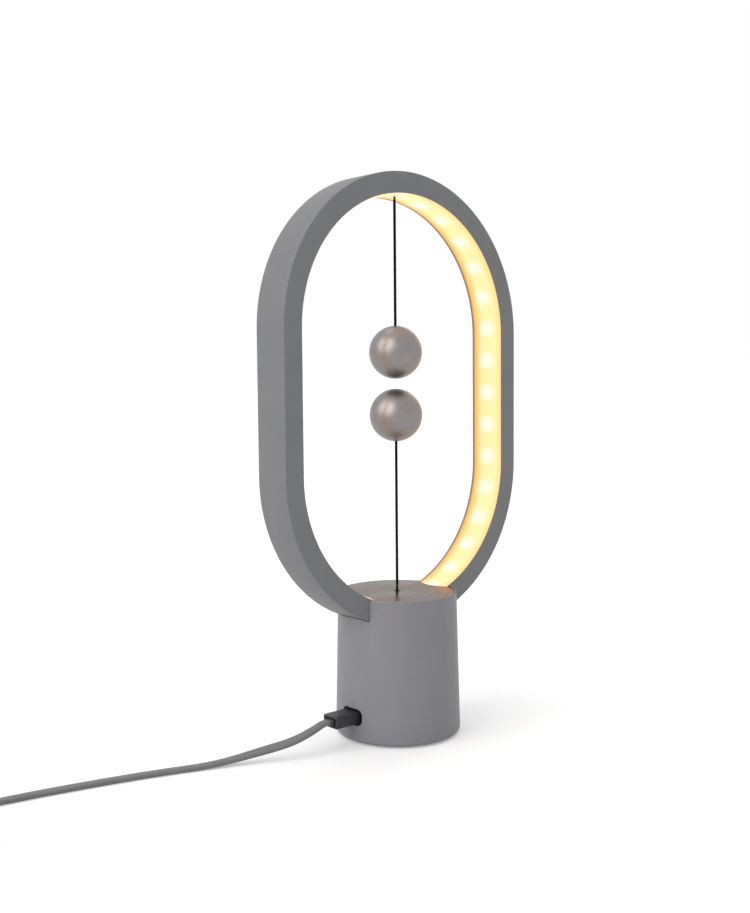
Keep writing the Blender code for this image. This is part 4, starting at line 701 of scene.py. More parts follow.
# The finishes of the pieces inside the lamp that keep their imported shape.
INNER_FINISHES = {
    "cast_iron": ("ballast_weight",),
    "board_green": ("control_board",),
    "white_plastic": ("chassis", "led_strip", "plunger", "switch_button"),
    "black_plastic": ("switch_body", "plug_surround"),
    "magnet_metal": ("upper_magnet", "lower_magnet"),
    "brass": ("plunger_bush", "top_cord_anchor", "upper_cord_stop", "lower_cord_stop"),
    "steel": (
        "charging_socket",
        "plug_tip",
        "switch_lever",
        *[name for name in NODES if "_screw_" in name or "_post_" in name],
    ),
}


def finish(name):
    """The named finish, made the first time that a piece asks for it."""
    found = bpy.data.materials.get(FINISH + name)
    if found:
        return found
    make, paint, *roughness = FINISHES[name]
    if isinstance(paint, str):
        paint = tuple(getattr(bpy.context.scene.lamp_colors, paint))
    return make(name, paint, *roughness)


def add_object(name, data):
    obj = bpy.data.objects.new(name, data)
    bpy.context.scene.collection.objects.link(obj)
    return obj


def mesh_from(name, made):
    """A bmesh as a mesh. The bmesh is used up."""
    mesh = bpy.data.meshes.new(name)
    made.to_mesh(mesh)
    made.free()
    return mesh


def finish_piece(name, made, look, body, *replaced):
    """Turns a bmesh into a piece that rides on a body, if one is named, and stands for CAD nodes."""
    mesh = mesh_from(name, made)
    mesh.shade_smooth()
    mesh.set_sharp_from_angle(angle=SHARP)
    mesh.materials.append(finish(look))
    obj = add_object(name, mesh)
    if body:
        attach(obj, body)
    if replaced:
        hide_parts(*replaced)
    return obj


def shift(made, way):
    bmesh.ops.translate(made, vec=way, verts=made.verts)


def swing(made, turn, axis, centre=(0, 0, 0)):
    bmesh.ops.rotate(made, cent=centre, matrix=Matrix.Rotation(turn, 3, axis), verts=made.verts)


def close_up(made):
    """Merges doubles and turns every face outwards."""
    bmesh.ops.remove_doubles(made, verts=made.verts, dist=WELD)
    bmesh.ops.recalc_face_normals(made, faces=made.faces)


def close_ends(made):
    """Fills the open ends of a shape, and closes it up."""
    bmesh.ops.holes_fill(made, edges=[edge for edge in made.edges if edge.is_boundary])
    close_up(made)


def rounded(made, geom, offset, segments, affect):
    bmesh.ops.bevel(
        made,
        geom=geom,
        offset=offset,
        offset_type="OFFSET",
        segments=segments,
        profile=0.5,
        affect=affect,
        material=-1,
    )


def cut_away(made, *cutters):
    """made without the space of the cutters, as a new bmesh. All of them are used up."""
    body, *tools = [add_object("blank", mesh_from("blank", shape)) for shape in (made, *cutters)]
    for tool in tools:
        cut = body.modifiers.new("Cut", "BOOLEAN")
        cut.object = tool
        cut.solver = "EXACT"
    bpy.context.view_layer.update()
    result = bmesh.new()
    result.from_object(body, bpy.context.evaluated_depsgraph_get())
    for obj in (body, *tools):
        mesh = obj.data
        bpy.data.objects.remove(obj)
        bpy.data.meshes.remove(mesh)
    return result


def draw_profile(points, closed=True):
    """Vertices joined by edges. Each point is a place and the rounding of its corner."""
    made = bmesh.new()
    corners = [made.verts.new(place) for place, rounding in points]
    for first, second in zip(corners, corners[1:]):
        made.edges.new((first, second))
    if closed:
        made.edges.new((corners[-1], corners[0]))
    for corner, (place, rounding) in zip(corners, points):
        if rounding > 0:
            rounded(made, [corner], rounding, ROUND_STEPS, "VERTICES")
    return made


def spun(made, geom, turn, steps, axis=UP, centre=0.0, rise=0.0, merge=False):
    """Spins geom about an axis through (0, 0, centre), and returns the last of its edges."""
    last = bmesh.ops.spin(
        made,
        geom=geom,
        cent=(0, 0, centre),
        axis=axis,
        dvec=(0, 0, rise / steps),
        angle=turn,
        steps=steps,
        use_merge=merge,
    )["geom_last"]
    return [item for item in last if isinstance(item, bmesh.types.BMEdge)]


def turned(profile, steps, closed=True):
    """A profile of (radius, height, rounding) turned once about the lamp's axis."""
    made = draw_profile([((radius, 0, height), rounding) for radius, height, rounding in profile], closed)
    spun(made, made.verts[:] + made.edges[:], FULL_TURN, steps, merge=True)
    close_up(made)
    return made


def wound(wire, sides, radius, start, turns, low, high, steps, upright=False):
    """A round wire that winds about the lamp's axis from low to high; start is its first angle."""
    made = bmesh.new()
    bmesh.ops.create_circle(made, cap_ends=False, segments=sides, radius=wire)
    if upright:
        swing(made, QUARTER, "X")
    shift(made, (radius, 0, low))
    swing(made, start, "Z")
    spun(made, made.verts[:] + made.edges[:], FULL_TURN * turns, steps, rise=high - low)
    close_ends(made)
    return made


def half_round(made, edges, centre, steps, sweep=HALF_TURN):
    """Spins edges about an axis along the lamp's depth, from +X over the top, and returns the last ones."""
    return spun(made, edges, sweep, steps, axis=-BACK, centre=centre)


def straight_on(made, edges, rise):
    """Extrudes edges upwards and returns the last ones, whose two ends were both moved."""
    pulled = bmesh.ops.extrude_edge_only(made, edges=edges)["geom"]
    moved = [item for item in pulled if isinstance(item, bmesh.types.BMVert)]
    bmesh.ops.translate(made, vec=(0, 0, rise), verts=moved)
    edges = [item for item in pulled if isinstance(item, bmesh.types.BMEdge)]
    ends = set(moved)
    return [edge for edge in edges if ends.issuperset(edge.verts)]


def swept_ring(profile, foot=HALF_TURN):
    """A closed profile of (radius, depth, rounding) swept round the ring.

    foot is how far it goes on from the sides' lower ends: half a turn makes a ring, less makes a strip.
    """
    ring = bpy.context.scene.lamp_ring
    low = ring.bottom + ring.radius
    high = ring.top - ring.radius
    foot_steps = round(ring.steps * foot / HALF_TURN)
    made = draw_profile([((radius, y, low), rounding) for radius, y, rounding in profile])
    edges = made.edges[:]
    if foot < HALF_TURN:
        swing(made, foot, "Y", (0, 0, low))
        edges = half_round(made, edges, low, foot_steps, foot)
    edges = straight_on(made, edges, high - low)
    edges = half_round(made, edges, high, ring.steps)
    edges = straight_on(made, edges, low - high)
    half_round(made, edges, low, foot_steps, foot)
    if foot < HALF_TURN:
        close_ends(made)
    else:
        close_up(made)
    return made


def ring_space():
    """The space that the ring takes in the base, with its clearance."""
    ring = bpy.context.scene.lamp_ring
    outer = ring.radius + GAP
    inner = ring.radius - ring.thickness - GAP
    half = ring.depth / 2 + GAP
    return swept_ring([(outer, half, 0), (inner, half, 0), (inner, -half, 0), (outer, -half, 0)])


def rod(radius, low, high, x=0.0, y=0.0, turn=0.0, centre=(0, 0, 0), sides=32):
    """An upright round rod from low to high, then turned about a centre in the ring's plane."""
    made = bmesh.new()
    bmesh.ops.create_cone(
        made, cap_ends=True, segments=sides, radius1=radius, radius2=radius, depth=high - low
    )
    shift(made, (x, y, (low + high) / 2))
    swing(made, turn, "Y", centre)
    return made


def block(size, centre, edge=0.0, segments=4, along=None):
    """A box with rounded edges; along keeps the rounding to the edges in that direction."""
    made = bmesh.new()
    bmesh.ops.create_cube(made, size=1)
    bmesh.ops.scale(made, vec=size, verts=made.verts)
    if edge:
        chosen = made.edges[:]
        if along is not None:
            chosen = [e for e in chosen if abs((e.verts[0].co - e.verts[1].co).normalized().dot(along)) > 0.9]
        rounded(made, chosen, edge, segments, "EDGES")
    shift(made, centre)
    return made


def gather(*shapes):
    """Several closed shapes in one bmesh."""
    whole = bmesh.new()
    for shape in shapes:
        mesh = mesh_from("part", shape)
        whole.from_mesh(mesh)
        bpy.data.meshes.remove(mesh)
    return whole


def arc(radius, first, last, steps):
    """Profile points on a circle about the middle, from one angle above the level to another."""
    angles = [first + (last - first) * i / steps for i in range(steps + 1)]
    return [(radius * math.cos(turn), radius * math.sin(turn), 0) for turn in angles]


def smooth_route(points, step):
    """Points about step apart on a smooth curve through the route's own points."""
    route = [Vector(point) for point in points]
    ends = [2 * route[0] - route[1], *route, 2 * route[-1] - route[-2]]
    placed = [route[0]]
    for before, start, end, after in zip(ends, ends[1:], ends[2:], ends[3:]):
        pieces = max(1, round((end - start).length / step))
        for i in range(1, pieces + 1):
            placed.append(between_points(before, start, end, after, i / pieces))
    return placed


def between_points(before, start, end, after, share):
    """A point between start and end, on the curve that passes through all four."""
    leave = (end - before) / 2
    arrive = (after - start) / 2
    square = share * share
    cube = square * share
    return (
        start * (2 * cube - 3 * square + 1)
        + leave * (cube - 2 * square + share)
        + end * (3 * square - 2 * cube)
        + arrive * (cube - square)
    )


def kept(share):
    return min(1.0, max(0.0, share))


def eased(share):
    """A share kept from 0 to 1, with a gentle start and end."""
    share = kept(share)
    return share * share * (3 - 2 * share)


def mesh_of_curve(curve, section=None):
    """The closed mesh that a curve makes. The curve and its section are used up."""
    obj = add_object("route", curve)
    bpy.context.view_layer.update()
    graph = bpy.context.evaluated_depsgraph_get()
    mesh = bpy.data.meshes.new_from_object(obj.evaluated_get(graph))
    made = bmesh.new()
    made.from_mesh(mesh)
    close_up(made)
    bpy.data.meshes.remove(mesh)
    for used in (obj, section):
        if used:
            outline = used.data
            bpy.data.objects.remove(used)
            bpy.data.curves.remove(outline)
    return made


def poly_curve(name, points, dimensions):
    """A curve object's data with straight pieces between points, and its spline."""
    curve = bpy.data.curves.new(name, "CURVE")
    curve.dimensions = dimensions
    spline = curve.splines.new("POLY")
    spline.points.add(len(points) - 1)
    for point, spot in zip(spline.points, points):
        point.co = (*spot, 1)
    return curve, spline


def route_curve(points, rolls=()):
    curve, spline = poly_curve("route", points, "3D")
    curve.use_fill_caps = True
    for point, roll in zip(spline.points, rolls):
        point.tilt = roll
    return curve


def flat_section(width, thickness, steps=8):
    """The flat cable's outline, its width along X."""
    half = thickness / 2
    flat = width / 2 - half
    points = []
    for side in (1, -1):
        for i in range(steps + 1):
            turn = QUARTER - i * HALF_TURN / steps
            points.append((side * (flat + half * math.cos(turn)), side * half * math.sin(turn), 0))
    outline, spline = poly_curve("section", points, "2D")
    spline.use_cyclic_u = True
    return add_object("section", outline)


def coil_route(cable):
    """The coil on edge: in on the lower layer, up a layer where it turns back, out on the upper one."""
    total = cable.coil_turns * cable.turn_steps
    climb = cable.turn_steps // 2
    low = cable.width / 2 + cable.lift
    points = []
    for i in range(total + 1):
        turn = QUARTER + FULL_TURN * i / cable.turn_steps
        radius = cable.coil_radius - cable.coil_pitch * min(i, total - i) / cable.turn_steps
        height = low + (cable.width + cable.layer_gap) * eased((i - (total - climb) / 2) / climb)
        x = cable.coil_x + radius * math.cos(turn)
        points.append(Vector((x, cable.coil_y + radius * math.sin(turn), height)))
    return points


def cable_roll(x, plug):
    """How far the cable has rolled: its front edge dips in the air, it lies flat, then it stands on edge."""
    in_air = kept((x + plug.end) / (CABLE_LANDING + plug.end))
    first, last = CABLE_STANDING_UP
    dip = CABLE_AIR_ROLL * math.sin(HALF_TURN * in_air) ** 2
    return QUARTER * eased((x - first) / (last - first)) - dip


def cable_route(cable, plug):
    """The whole cable's middle line, how far it has rolled from flat to on edge, and its last heading."""
    coil = coil_route(cable)
    start = Vector((-plug.end - plug.reach / 2, 0, plug.axis))
    straight = start - ACROSS * (plug.reach + cable.thickness)
    into_coil = coil[0] - (coil[3] - coil[0]).normalized() * cable.width
    run = smooth_route([start, straight, *CABLE_ROUTE, into_coil, coil[0]], CABLE_STEP)
    rolls = [cable_roll(point.x, plug) for point in run]
    edge = (cable.width - cable.thickness) / 2
    for point, roll in zip(run, rolls):
        point.z = max(point.z, cable.lift + cable.thickness / 2 + edge * abs(math.sin(roll)))
    end = coil[-1]
    out = (end - coil[-4]).normalized()
    level = Vector((out.x, out.y, 0)).normalized()
    away = level * cable.end_length
    drop = UP * (cable.plug_height / 2 + cable.lift - end.z)
    corners = [end, end + level * cable.width]
    corners += [end + away * along + drop * dropped for along, dropped in TAIL_DROP]
    corners += [end + away + drop - level * cable.width, end + away + drop]
    tail = smooth_route(corners, CABLE_STEP)[1:]
    first, last = TAIL_LYING_DOWN
    shares = [(i + 1) / len(tail) for i in range(len(tail))]
    back = [QUARTER * (1 - eased((share - first) / (last - first))) for share in shares]
    return run + coil[1:] + tail, rolls + [QUARTER] * (len(coil) - 1) + back, level


class Builder:
    """What the operators share: each of them builds something from the scene's sizes."""

    def execute(self, context):
        self.build(context.scene)
        return {"FINISHED"}


class LAMP_OT_camera(Builder, bpy.types.Operator):
    """Add the camera at the photograph's viewing angle"""

    bl_idname = "lamp.camera"
    bl_label = "Camera"

    def build(self, scene):
        stage = scene.lamp_stage
        level = Vector((math.cos(stage.heading), -math.sin(stage.heading), 0))
        forward = Vector((math.sin(stage.heading), math.cos(stage.heading), 0))
        ahead = forward * math.cos(stage.pitch) + UP * math.sin(stage.pitch)
        right = level * math.cos(stage.roll) + level.cross(ahead) * math.sin(stage.roll)
        facing = Matrix((right, right.cross(ahead), -ahead)).transposed().to_4x4()
        camera = bpy.data.cameras.new("camera")
        camera.lens = stage.lens
        camera.clip_start = 0.01
        obj = add_object("camera", camera)
        obj.matrix_world = Matrix.Translation(stage.eye) @ facing
        scene.camera = obj


class LAMP_OT_cable(Builder, bpy.types.Operator):
    """Add the flat charging cable with its coil and far plug"""

    bl_idname = "lamp.cable"
    bl_label = "Charging cable"

    def build(self, scene):
        cable = scene.lamp_cable
        plug = scene.lamp_plug
        route, rolls, level = cable_route(cable, plug)
        curve = route_curve(route, rolls)
        curve.twist_mode = "Z_UP"
        curve.bevel_mode = "OBJECT"
        section = flat_section(cable.width, cable.thickness)
        curve.bevel_object = section
        made = mesh_of_curve(curve, section)
        nodes = ("cable_run", "cable_coil", "cable_end")
        obj = finish_piece("charging_cable", made, "cable_plastic", "charging_cable", *nodes)
        pieces = self.far_plug(cable, route[-1], level)

    def far_plug(self, cable, at, level):
        """The plug for a charger: a ridged body, a metal shell, and a tongue with contacts."""
        heading = Matrix.Translation(at) @ Matrix.Rotation(math.atan2(level.y, level.x), 4, "Z")
        start = 2 * GAP + cable.plug_length
        tongue, contacts = self.tongue(cable, start)
        pieces = []
        for name, made, look, *replaced in (
            ("far_plug_grip", self.grip(cable), "plug_plastic", "far_plug_body"),
            ("far_plug_metal", self.shell(cable, start), "steel", "far_plug_shell"),
            ("far_plug_tongue", tongue, "white_plastic"),
            ("far_plug_contacts", contacts, "gold_contact"),
        ):
            bmesh.ops.transform(made, matrix=heading, verts=made.verts)
            pieces.append(finish_piece(name, made, look, "charging_cable", *replaced))
        return pieces

    def grip(self, cable):
        """The moulded body with its neck, and rows of ridges over and under it."""
        size = (cable.plug_length, cable.plug_width, cable.plug_height)
        body = block(size, (GAP + cable.plug_length / 2, 0, 0), cable.plug_edge, 5)
        ridge = (0.0011, cable.plug_width - 0.0046, 0.0003)
        ridge_edge, first, pitch, rows = 0.0001, 0.0062, 0.0024, 5
        ridges = [
            block(ridge, (first + i * pitch, 0, side * cable.plug_height / 2), ridge_edge, 2)
            for i in range(rows)
            for side in (-1, 1)
        ]
        neck = (0.0040, cable.width + 0.0022, cable.thickness + 0.0018)
        neck_middle, neck_edge = -0.0014, 0.0011
        return gather(body, block(neck, (neck_middle, 0, 0), neck_edge), *ridges)

    def shell(self, cable, start):
        """The metal shell, open in front, with two windows over and two under."""
        wall = cable.shell_wall
        middle = start + cable.shell_length / 2
        tube = block((cable.shell_length, cable.shell_width, cable.shell_height), (middle, 0, 0), wall, 2)
        space = (cable.shell_length, cable.shell_width - 2 * wall, cable.shell_height - 2 * wall)
        mouth = block(space, (middle + 4 * wall, 0, 0))
        window = (0.0024, 0.0024, 0.0040)
        along, aside, lift = start + 0.0108, 0.0031, 0.0030
        windows = [block(window, (along, y, z)) for y in (-aside, aside) for z in (-lift, lift)]
        return cut_away(tube, mouth, *windows)

    def tongue(self, cable, start):
        """The tongue inside the shell, and the contacts on it."""
        middle = start + cable.shell_length / 2 + 0.0004
        size = (cable.shell_length - 0.0022, cable.shell_width - 0.0010, cable.tongue)
        under, edge = 0.00015, 0.0002
        height = -cable.shell_height / 2 + cable.shell_wall + cable.tongue / 2 + under
        tongue = block(size, (middle, 0, height), edge, 2)
        contact = (0.0080, 0.0010, 0.0002)
        along, aside, rise = start + 0.0118, (-0.0035, -0.0010, 0.0010, 0.0035), 0.00005
        top = height + cable.tongue / 2 + rise
        return tongue, gather(*[block(contact, (along, y, top)) for y in aside])


class LAMP_OT_balance_cords(Builder, bpy.types.Operator):
    """Add the twisted cords of the two balls and of the pull switch, with their knots"""

    bl_idname = "lamp.balance_cords"
    bl_label = "Balance cords"

    def build(self, scene):
        cords = scene.lamp_cords
        for name, body, node, lay in (
            ("upper_twisted_cord", "upper_ball", "upper_cord", "hanging"),
            ("lower_twisted_cord", "lower_ball", "lower_cord", "taut"),
            ("pull_twisted_cord", "pull_rod", "pull_cord", "taut"),
        ):
            low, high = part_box(node)
            made = self.twisted(cords, low.z - cords.reach, high.z + cords.reach)
            obj = finish_piece(name, made, "black_cord", body, node)
            reach = high.z - low.z
            pieces = 20
            path = [(0, 0, low.z + reach * i / pieces) for i in range(pieces + 1)]
            if node == "lower_cord":
                path.reverse()
        for name, body, node, height in (
            ("upper_knot", "upper_cord_joint", "upper_cord_bead", cords.upper_pivot),
            ("lower_knot", "lower_cord_joint", "lower_cord_bead", cords.lower_pivot),
        ):
            finish_piece(name, self.knot(cords.radius, height), "black_cord", body, node)

    def twisted(self, cords, low, high):
        """Strands that each wind about the cord's middle, their ends closed."""
        wire = cords.radius * STRAND_SHARE
        turns = (high - low) / cords.lay
        steps = max(24, round(turns * cords.lay_steps))
        strands = []
        for i in range(cords.strands):
            start = FULL_TURN * i / cords.strands
            offset = cords.radius - wire
            strands.append(wound(wire, cords.strand_sides, offset, start, turns, low, high, steps))
        return gather(*strands)

    def knot(self, radius, height):
        """A small whipped knot, round so that the cord can swing about it."""
        middle, ripple, whippings = 0.94, 0.05, 10
        made = bmesh.new()
        bmesh.ops.create_uvsphere(made, u_segments=24, v_segments=16, radius=radius)
        for vert in made.verts:
            level = math.asin(max(-1, min(1, vert.co.z / radius)))
            vert.co *= middle + ripple * math.cos(whippings * level)
        shift(made, (0, 0, height))
        close_up(made)
        return made


class LAMP_OT_ring(Builder, bpy.types.Operator):
    """Add the grey ring, a channel with rounded edges and its holes"""

    bl_idname = "lamp.ring"
    bl_label = "Ring"

    def build(self, scene):
        ring = scene.lamp_ring
        half = ring.depth / 2
        inner = ring.radius - ring.thickness
        channel = ring.radius - ring.floor
        rabbet = inner + scene.lamp_light.thickness + GAP
        back, front = [
            [
                (ring.radius, half, ring.edge),
                (inner, half, ring.lip_edge),
                (inner, half - lip, ring.lip_edge / 2),
                (rabbet, half - lip, 0),
                (rabbet, half - ring.cheek, 0),
                (channel, half - ring.cheek, 0),
            ]
            for lip in (ring.back_lip, ring.front_lip)
        ]
        front = [(radius, -y, rounding) for radius, y, rounding in reversed(front)]
        low = ring.bottom - OVERRUN
        high = ring.bottom + ring.floor + OVERRUN
        centre = (0, 0, ring.bottom + ring.radius)
        tilt = math.asin(SCREW_ASIDE / ring.radius)
        made = cut_away(
            swept_ring(back + front),
            rod(CORD_HOLE, low, high),
            rod(LEAD_HOLE, low, high, *LEAD_HOLE_PLACE),
            *[rod(SCREW_HOLE, low, high, turn=turn, centre=centre) for turn in (tilt, -tilt)],
        )
        finish_piece("ring_shell", made, "ring_paint", "lamp", "ring_frame")


class LAMP_OT_light(Builder, bpy.types.Operator):
    """Add the lit diffuser inside the ring"""

    bl_idname = "lamp.light"
    bl_label = "Diffuser"

    def build(self, scene):
        ring = scene.lamp_ring
        light = scene.lamp_light
        inner = ring.radius - ring.thickness
        outer = inner + light.thickness
        front = -ring.depth / 2 + ring.front_lip + light.hairline
        back = ring.depth / 2 - ring.back_lip - light.hairline
        half = (back - front) / 2
        centre = (back + front) / 2
        shares = [i / BULGE_STEPS for i in range(BULGE_STEPS, -BULGE_STEPS - 1, -1)]
        dome = [(inner - light.bulge * (1 - share * share), centre + half * share, 0) for share in shares]
        for end in (0, -1):
            dome[end] = (*dome[end][:2], DIFFUSER_EDGE)
        made = swept_ring([(outer, back, 0), *dome, (outer, front, 0)], QUARTER - light.foot)
        middle = (inner + outer) / 2
        self.flatten_outlet(made, ring, light, inner, middle)
        made = cut_away(made, rod(OUTLET, ring.top - ring.thickness - OVERRUN, ring.top - OUTLET_END))
        strip = made.loops.layers.uv.new("strip")
        for face in made.faces:
            for loop in face.loops:
                along = self.distance_from_top(loop.vert.co, ring, middle)
                loop[strip].uv = (along / light.pitch, (loop.vert.co.y - front) / (back - front))
        finish_piece("glowing_diffuser", made, "lit_diffuser", "lamp", "diffuser")

    def flatten_outlet(self, made, ring, light, inner, middle):
        """Lets the bulge run out towards the cord's outlet, so that the swinging cord clears it."""
        high = ring.top - ring.radius
        for vert in made.verts:
            spot = vert.co
            along = abs(self.distance_from_top(spot, ring, middle))
            radius = math.hypot(spot.x, spot.z - high)
            if along < light.calm and radius < inner:
                scale = (inner + (radius - inner) * eased(along / light.calm)) / radius
                spot.x *= scale
                spot.z = high + (spot.z - high) * scale

    def distance_from_top(self, spot, ring, radius):
        """How far along the ring a spot is from the top's middle."""
        low = ring.bottom + ring.radius
        high = ring.top - ring.radius
        side = 1 if spot.x >= 0 else -1
        if spot.z >= high:
            return side * radius * math.atan2(abs(spot.x), spot.z - high)
        if spot.z >= low:
            return side * (radius * QUARTER + high - spot.z)
        return side * (radius * QUARTER + high - low + radius * math.atan2(low - spot.z, abs(spot.x)))


def cover_seat(base):
    """Radius of the recess under the base that takes the cover."""
    return base.bottom_radius - base.foot_rounding - COVER_MARGIN


class LAMP_OT_base(Builder, bpy.types.Operator):
    """Add the base's housing with its slots for the ring and its opening for the plug"""

    bl_idname = "lamp.base"
    bl_label = "Base housing"

    def build(self, scene):
        base = scene.lamp_base
        plug = scene.lamp_plug
        lean = (base.bottom_radius - base.top_radius) / base.height
        foot_corner = base.bottom_radius - lean * base.reveal
        seat = cover_seat(base)
        low = base.reveal + COVER + GAP
        high = low + SHELF_HEIGHT
        ledge = base.height - base.disc_thickness - GAP
        rim = base.top_radius - base.rim
        profile = [
            (base.top_radius, base.height, base.top_rounding),
            (foot_corner, base.reveal, base.foot_rounding),
            (seat, base.reveal, COVER_EDGE),
            (seat, low, 0),
            (seat - SHELF, low, 0),
            (seat - SHELF, high, 0),
            (foot_corner - base.wall, high + SHELF, 0),
            (base.top_radius - base.wall + TAPER, ledge - SHELF, 0),
            (rim - SHELF, ledge - SHELF / 2, 0),
            (rim - SHELF, ledge, 0),
            (rim, ledge, 0),
            (rim, base.height, RIM_EDGE),
        ]
        opening = block(
            (OPENING_CUT, plug.opening_width, plug.opening_height),
            (-base.bottom_radius + lean * plug.axis, 0, plug.axis),
            plug.opening_corner,
            8,
            ACROSS,
        )
        made = cut_away(turned(profile, base.steps), ring_space(), opening)
        finish_piece("base_shell", made, "base_paint", "lamp", "base_housing")


class LAMP_OT_top_disc(Builder, bpy.types.Operator):
    """Add the turned metal disc in the base's top and the bush that the cord passes"""

    bl_idname = "lamp.top_disc"
    bl_label = "Top disc"

    def build(self, scene):
        base = scene.lamp_base
        outer = base.top_radius - base.rim - GAP
        disc = self.plate(base, DISC_HOLE, outer, DISC_HOLE_EDGE, base.disc_edge, base.steps)
        disc = cut_away(disc, ring_space())
        finish_piece("turned_disc", disc, "turned_metal", "lamp", "base_top_disc")
        bush = self.plate(base, BUSH_HOLE, BUSH_RADIUS, *BUSH_EDGES, BUSH_STEPS)
        finish_piece("rubber_grommet", bush, "black_rubber", "lamp", "cord_grommet")

    def plate(self, base, inner, outer, inner_edge, outer_edge, steps):
        """A ring as thick as the disc, with its upper edges rounded."""
        bottom = base.height - base.disc_thickness
        upper = [(inner, base.height, inner_edge), (outer, base.height, outer_edge)]
        return turned([*upper, (outer, bottom, 0), (inner, bottom, 0)], steps)


class LAMP_OT_foot(Builder, bpy.types.Operator):
    """Add the base's bottom cover and its rubber foot ring"""

    bl_idname = "lamp.foot"
    bl_label = "Cover and foot"

    def build(self, scene):
        base = scene.lamp_base
        cover = cover_seat(base) - GAP
        outer = cover - FOOT_INSET
        inner = outer - FOOT_WIDTH
        top = base.reveal + COVER
        made = turned(
            [
                (0, top, 0),
                (cover, top, 0),
                (cover, base.reveal, COVER_EDGE),
                (outer + GAP, base.reveal, COVER_SLOT_EDGE),
                (outer + GAP, FOOT_TOP + GAP, 0),
                (inner - GAP, FOOT_TOP + GAP, 0),
                (inner - GAP, base.reveal, COVER_SLOT_EDGE),
                (0, base.reveal, 0),
            ],
            base.steps,
            closed=False,
        )
        circle = inner - SCREW_INSET
        holes = []
        for turn in COVER_SCREWS:
            x = circle * math.cos(math.radians(turn))
            y = circle * math.sin(math.radians(turn))
            holes.append(rod(SCREW_HOLE, -OVERRUN, top + OVERRUN, x, y))
            holes.append(rod(SCREW_HEAD_HOLE, -OVERRUN, base.reveal + SCREW_HEAD_DEPTH, x, y))
        finish_piece("cover_plate", cut_away(made, *holes), "black_plastic", "lamp", "bottom_cover")
        ring = [
            (outer, FOOT_TOP, 0),
            (outer, 0, FOOT_EDGE),
            *[(outer - inwards, height, rounding) for inwards, height, rounding in GROOVE_CORNERS],
            (inner, 0, FOOT_EDGE),
            (inner, FOOT_TOP, 0),
        ]
        finish_piece("rubber_foot", turned(ring, base.steps), "black_rubber", "lamp", "foot_ring")


class LAMP_OT_balls(Builder, bpy.types.Operator):
    """Add the four half shells of the two balls"""

    bl_idname = "lamp.balls"
    bl_label = "Balls"

    def build(self, scene):
        balls = scene.lamp_balls
        for name, body, node, height, holed in (
            ("upper_ball_cap", "upper_ball", "upper_ball_top_half", balls.upper, True),
            ("upper_ball_cup", "upper_ball", "upper_ball_bottom_half", balls.upper, False),
            ("lower_ball_cap", "lower_ball", "lower_ball_top_half", balls.lower, False),
            ("lower_ball_cup", "lower_ball", "lower_ball_bottom_half", balls.lower, True),
        ):
            made = self.half_shell(balls, holed)
            if node.endswith("bottom_half"):
                swing(made, HALF_TURN, "X")
            shift(made, (0, 0, height))
            finish_piece(name, made, "satin_metal", body, node)

    def half_shell(self, balls, holed):
        """A half shell with its rim at the middle; holed leaves the cord's way at its pole."""
        outer, inner = balls.radius, balls.radius - balls.wall
        rim, inner_rim = [math.asin(balls.seam / 2 / radius) for radius in (outer, inner)]
        first, last = [math.acos(balls.hole / radius) if holed else QUARTER for radius in (outer, inner)]
        profile = arc(outer, first, rim, balls.outer_steps) + arc(inner, inner_rim, last, balls.inner_steps)
        if holed:
            profile[0] = (*profile[0][:2], BALL_HOLE_EDGE)
        else:
            profile[0] = (0, outer, 0)
            profile[-1] = (0, inner, 0)
        return turned(profile, balls.steps, closed=holed)


class LAMP_OT_plug(Builder, bpy.types.Operator):
    """Add the plug in the base's side, with the collar round its cable"""

    bl_idname = "lamp.plug"
    bl_label = "Plug"

    def build(self, scene):
        plug = scene.lamp_plug
        cable = scene.lamp_cable
        back = (-plug.end, 0, plug.axis)
        size = (plug.end - plug.front, plug.width, plug.height)
        body = block(size, (-(plug.end + plug.front) / 2, 0, plug.axis), plug.edge, 5)
        size = (2 * plug.pocket_depth, plug.pocket_width, plug.pocket_height)
        shell = cut_away(body, block(size, back, plug.pocket_corner, 4, ACROSS))
        deep = plug.reach + plug.pocket_depth + GAP
        size = (deep, plug.pocket_width - 2 * plug.groove, plug.pocket_height - 2 * plug.groove)
        collar = block(size, (-plug.end - plug.reach + deep / 2, 0, plug.axis), plug.collar_edge, 3)
        size = (OPENING_CUT, cable.width + plug.slack, cable.thickness + plug.slack)
        collar = cut_away(collar, block(size, back, cable.thickness / 2, 6, ACROSS))
        finish_piece("plug_grip", shell, "plug_plastic", "charging_cable", "plug_body")
        finish_piece("plug_collar", collar, "plug_plastic", "charging_cable")


class LAMP_OT_inner_leads(Builder, bpy.types.Operator):
    """Add the leads of the light and the switch, and the switch's return spring"""

    bl_idname = "lamp.inner_leads"
    bl_label = "Leads and spring"

    def build(self, scene):
        for name, light_aside, switch_aside in zip(("red", "black"), LIGHT_LEADS_ASIDE, SWITCH_LEADS_ASIDE):
            self.lead("light_wire_", LIGHT_LEAD, light_aside, name, "led_lead_")
            self.lead("switch_wire_", SWITCH_LEAD, switch_aside, name, "switch_lead_")
        self.spring()

    def lead(self, piece, points, aside, name, node):
        route = smooth_route([(x, y + aside, z) for x, y, z in points], LEAD_STEP)
        curve = route_curve(route)
        curve.bevel_depth = LEAD_RADIUS
        curve.bevel_resolution = 3
        obj = finish_piece(piece + name, mesh_of_curve(curve), "lead_" + name, "lamp", node + name)

    def spring(self):
        """The return spring: a round wire wound about the plunger's stem."""
        made = wound(
            SPRING_WIRE,
            WIRE_SIDES,
            SPRING_RADIUS,
            0.0,
            SPRING_TURNS,
            SPRING_LOW,
            SPRING_HIGH,
            SPRING_TURNS * TURN_STEPS,
            upright=True,
        )
        obj = finish_piece("wound_spring", made, "steel", None, "return_spring")
        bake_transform(obj)


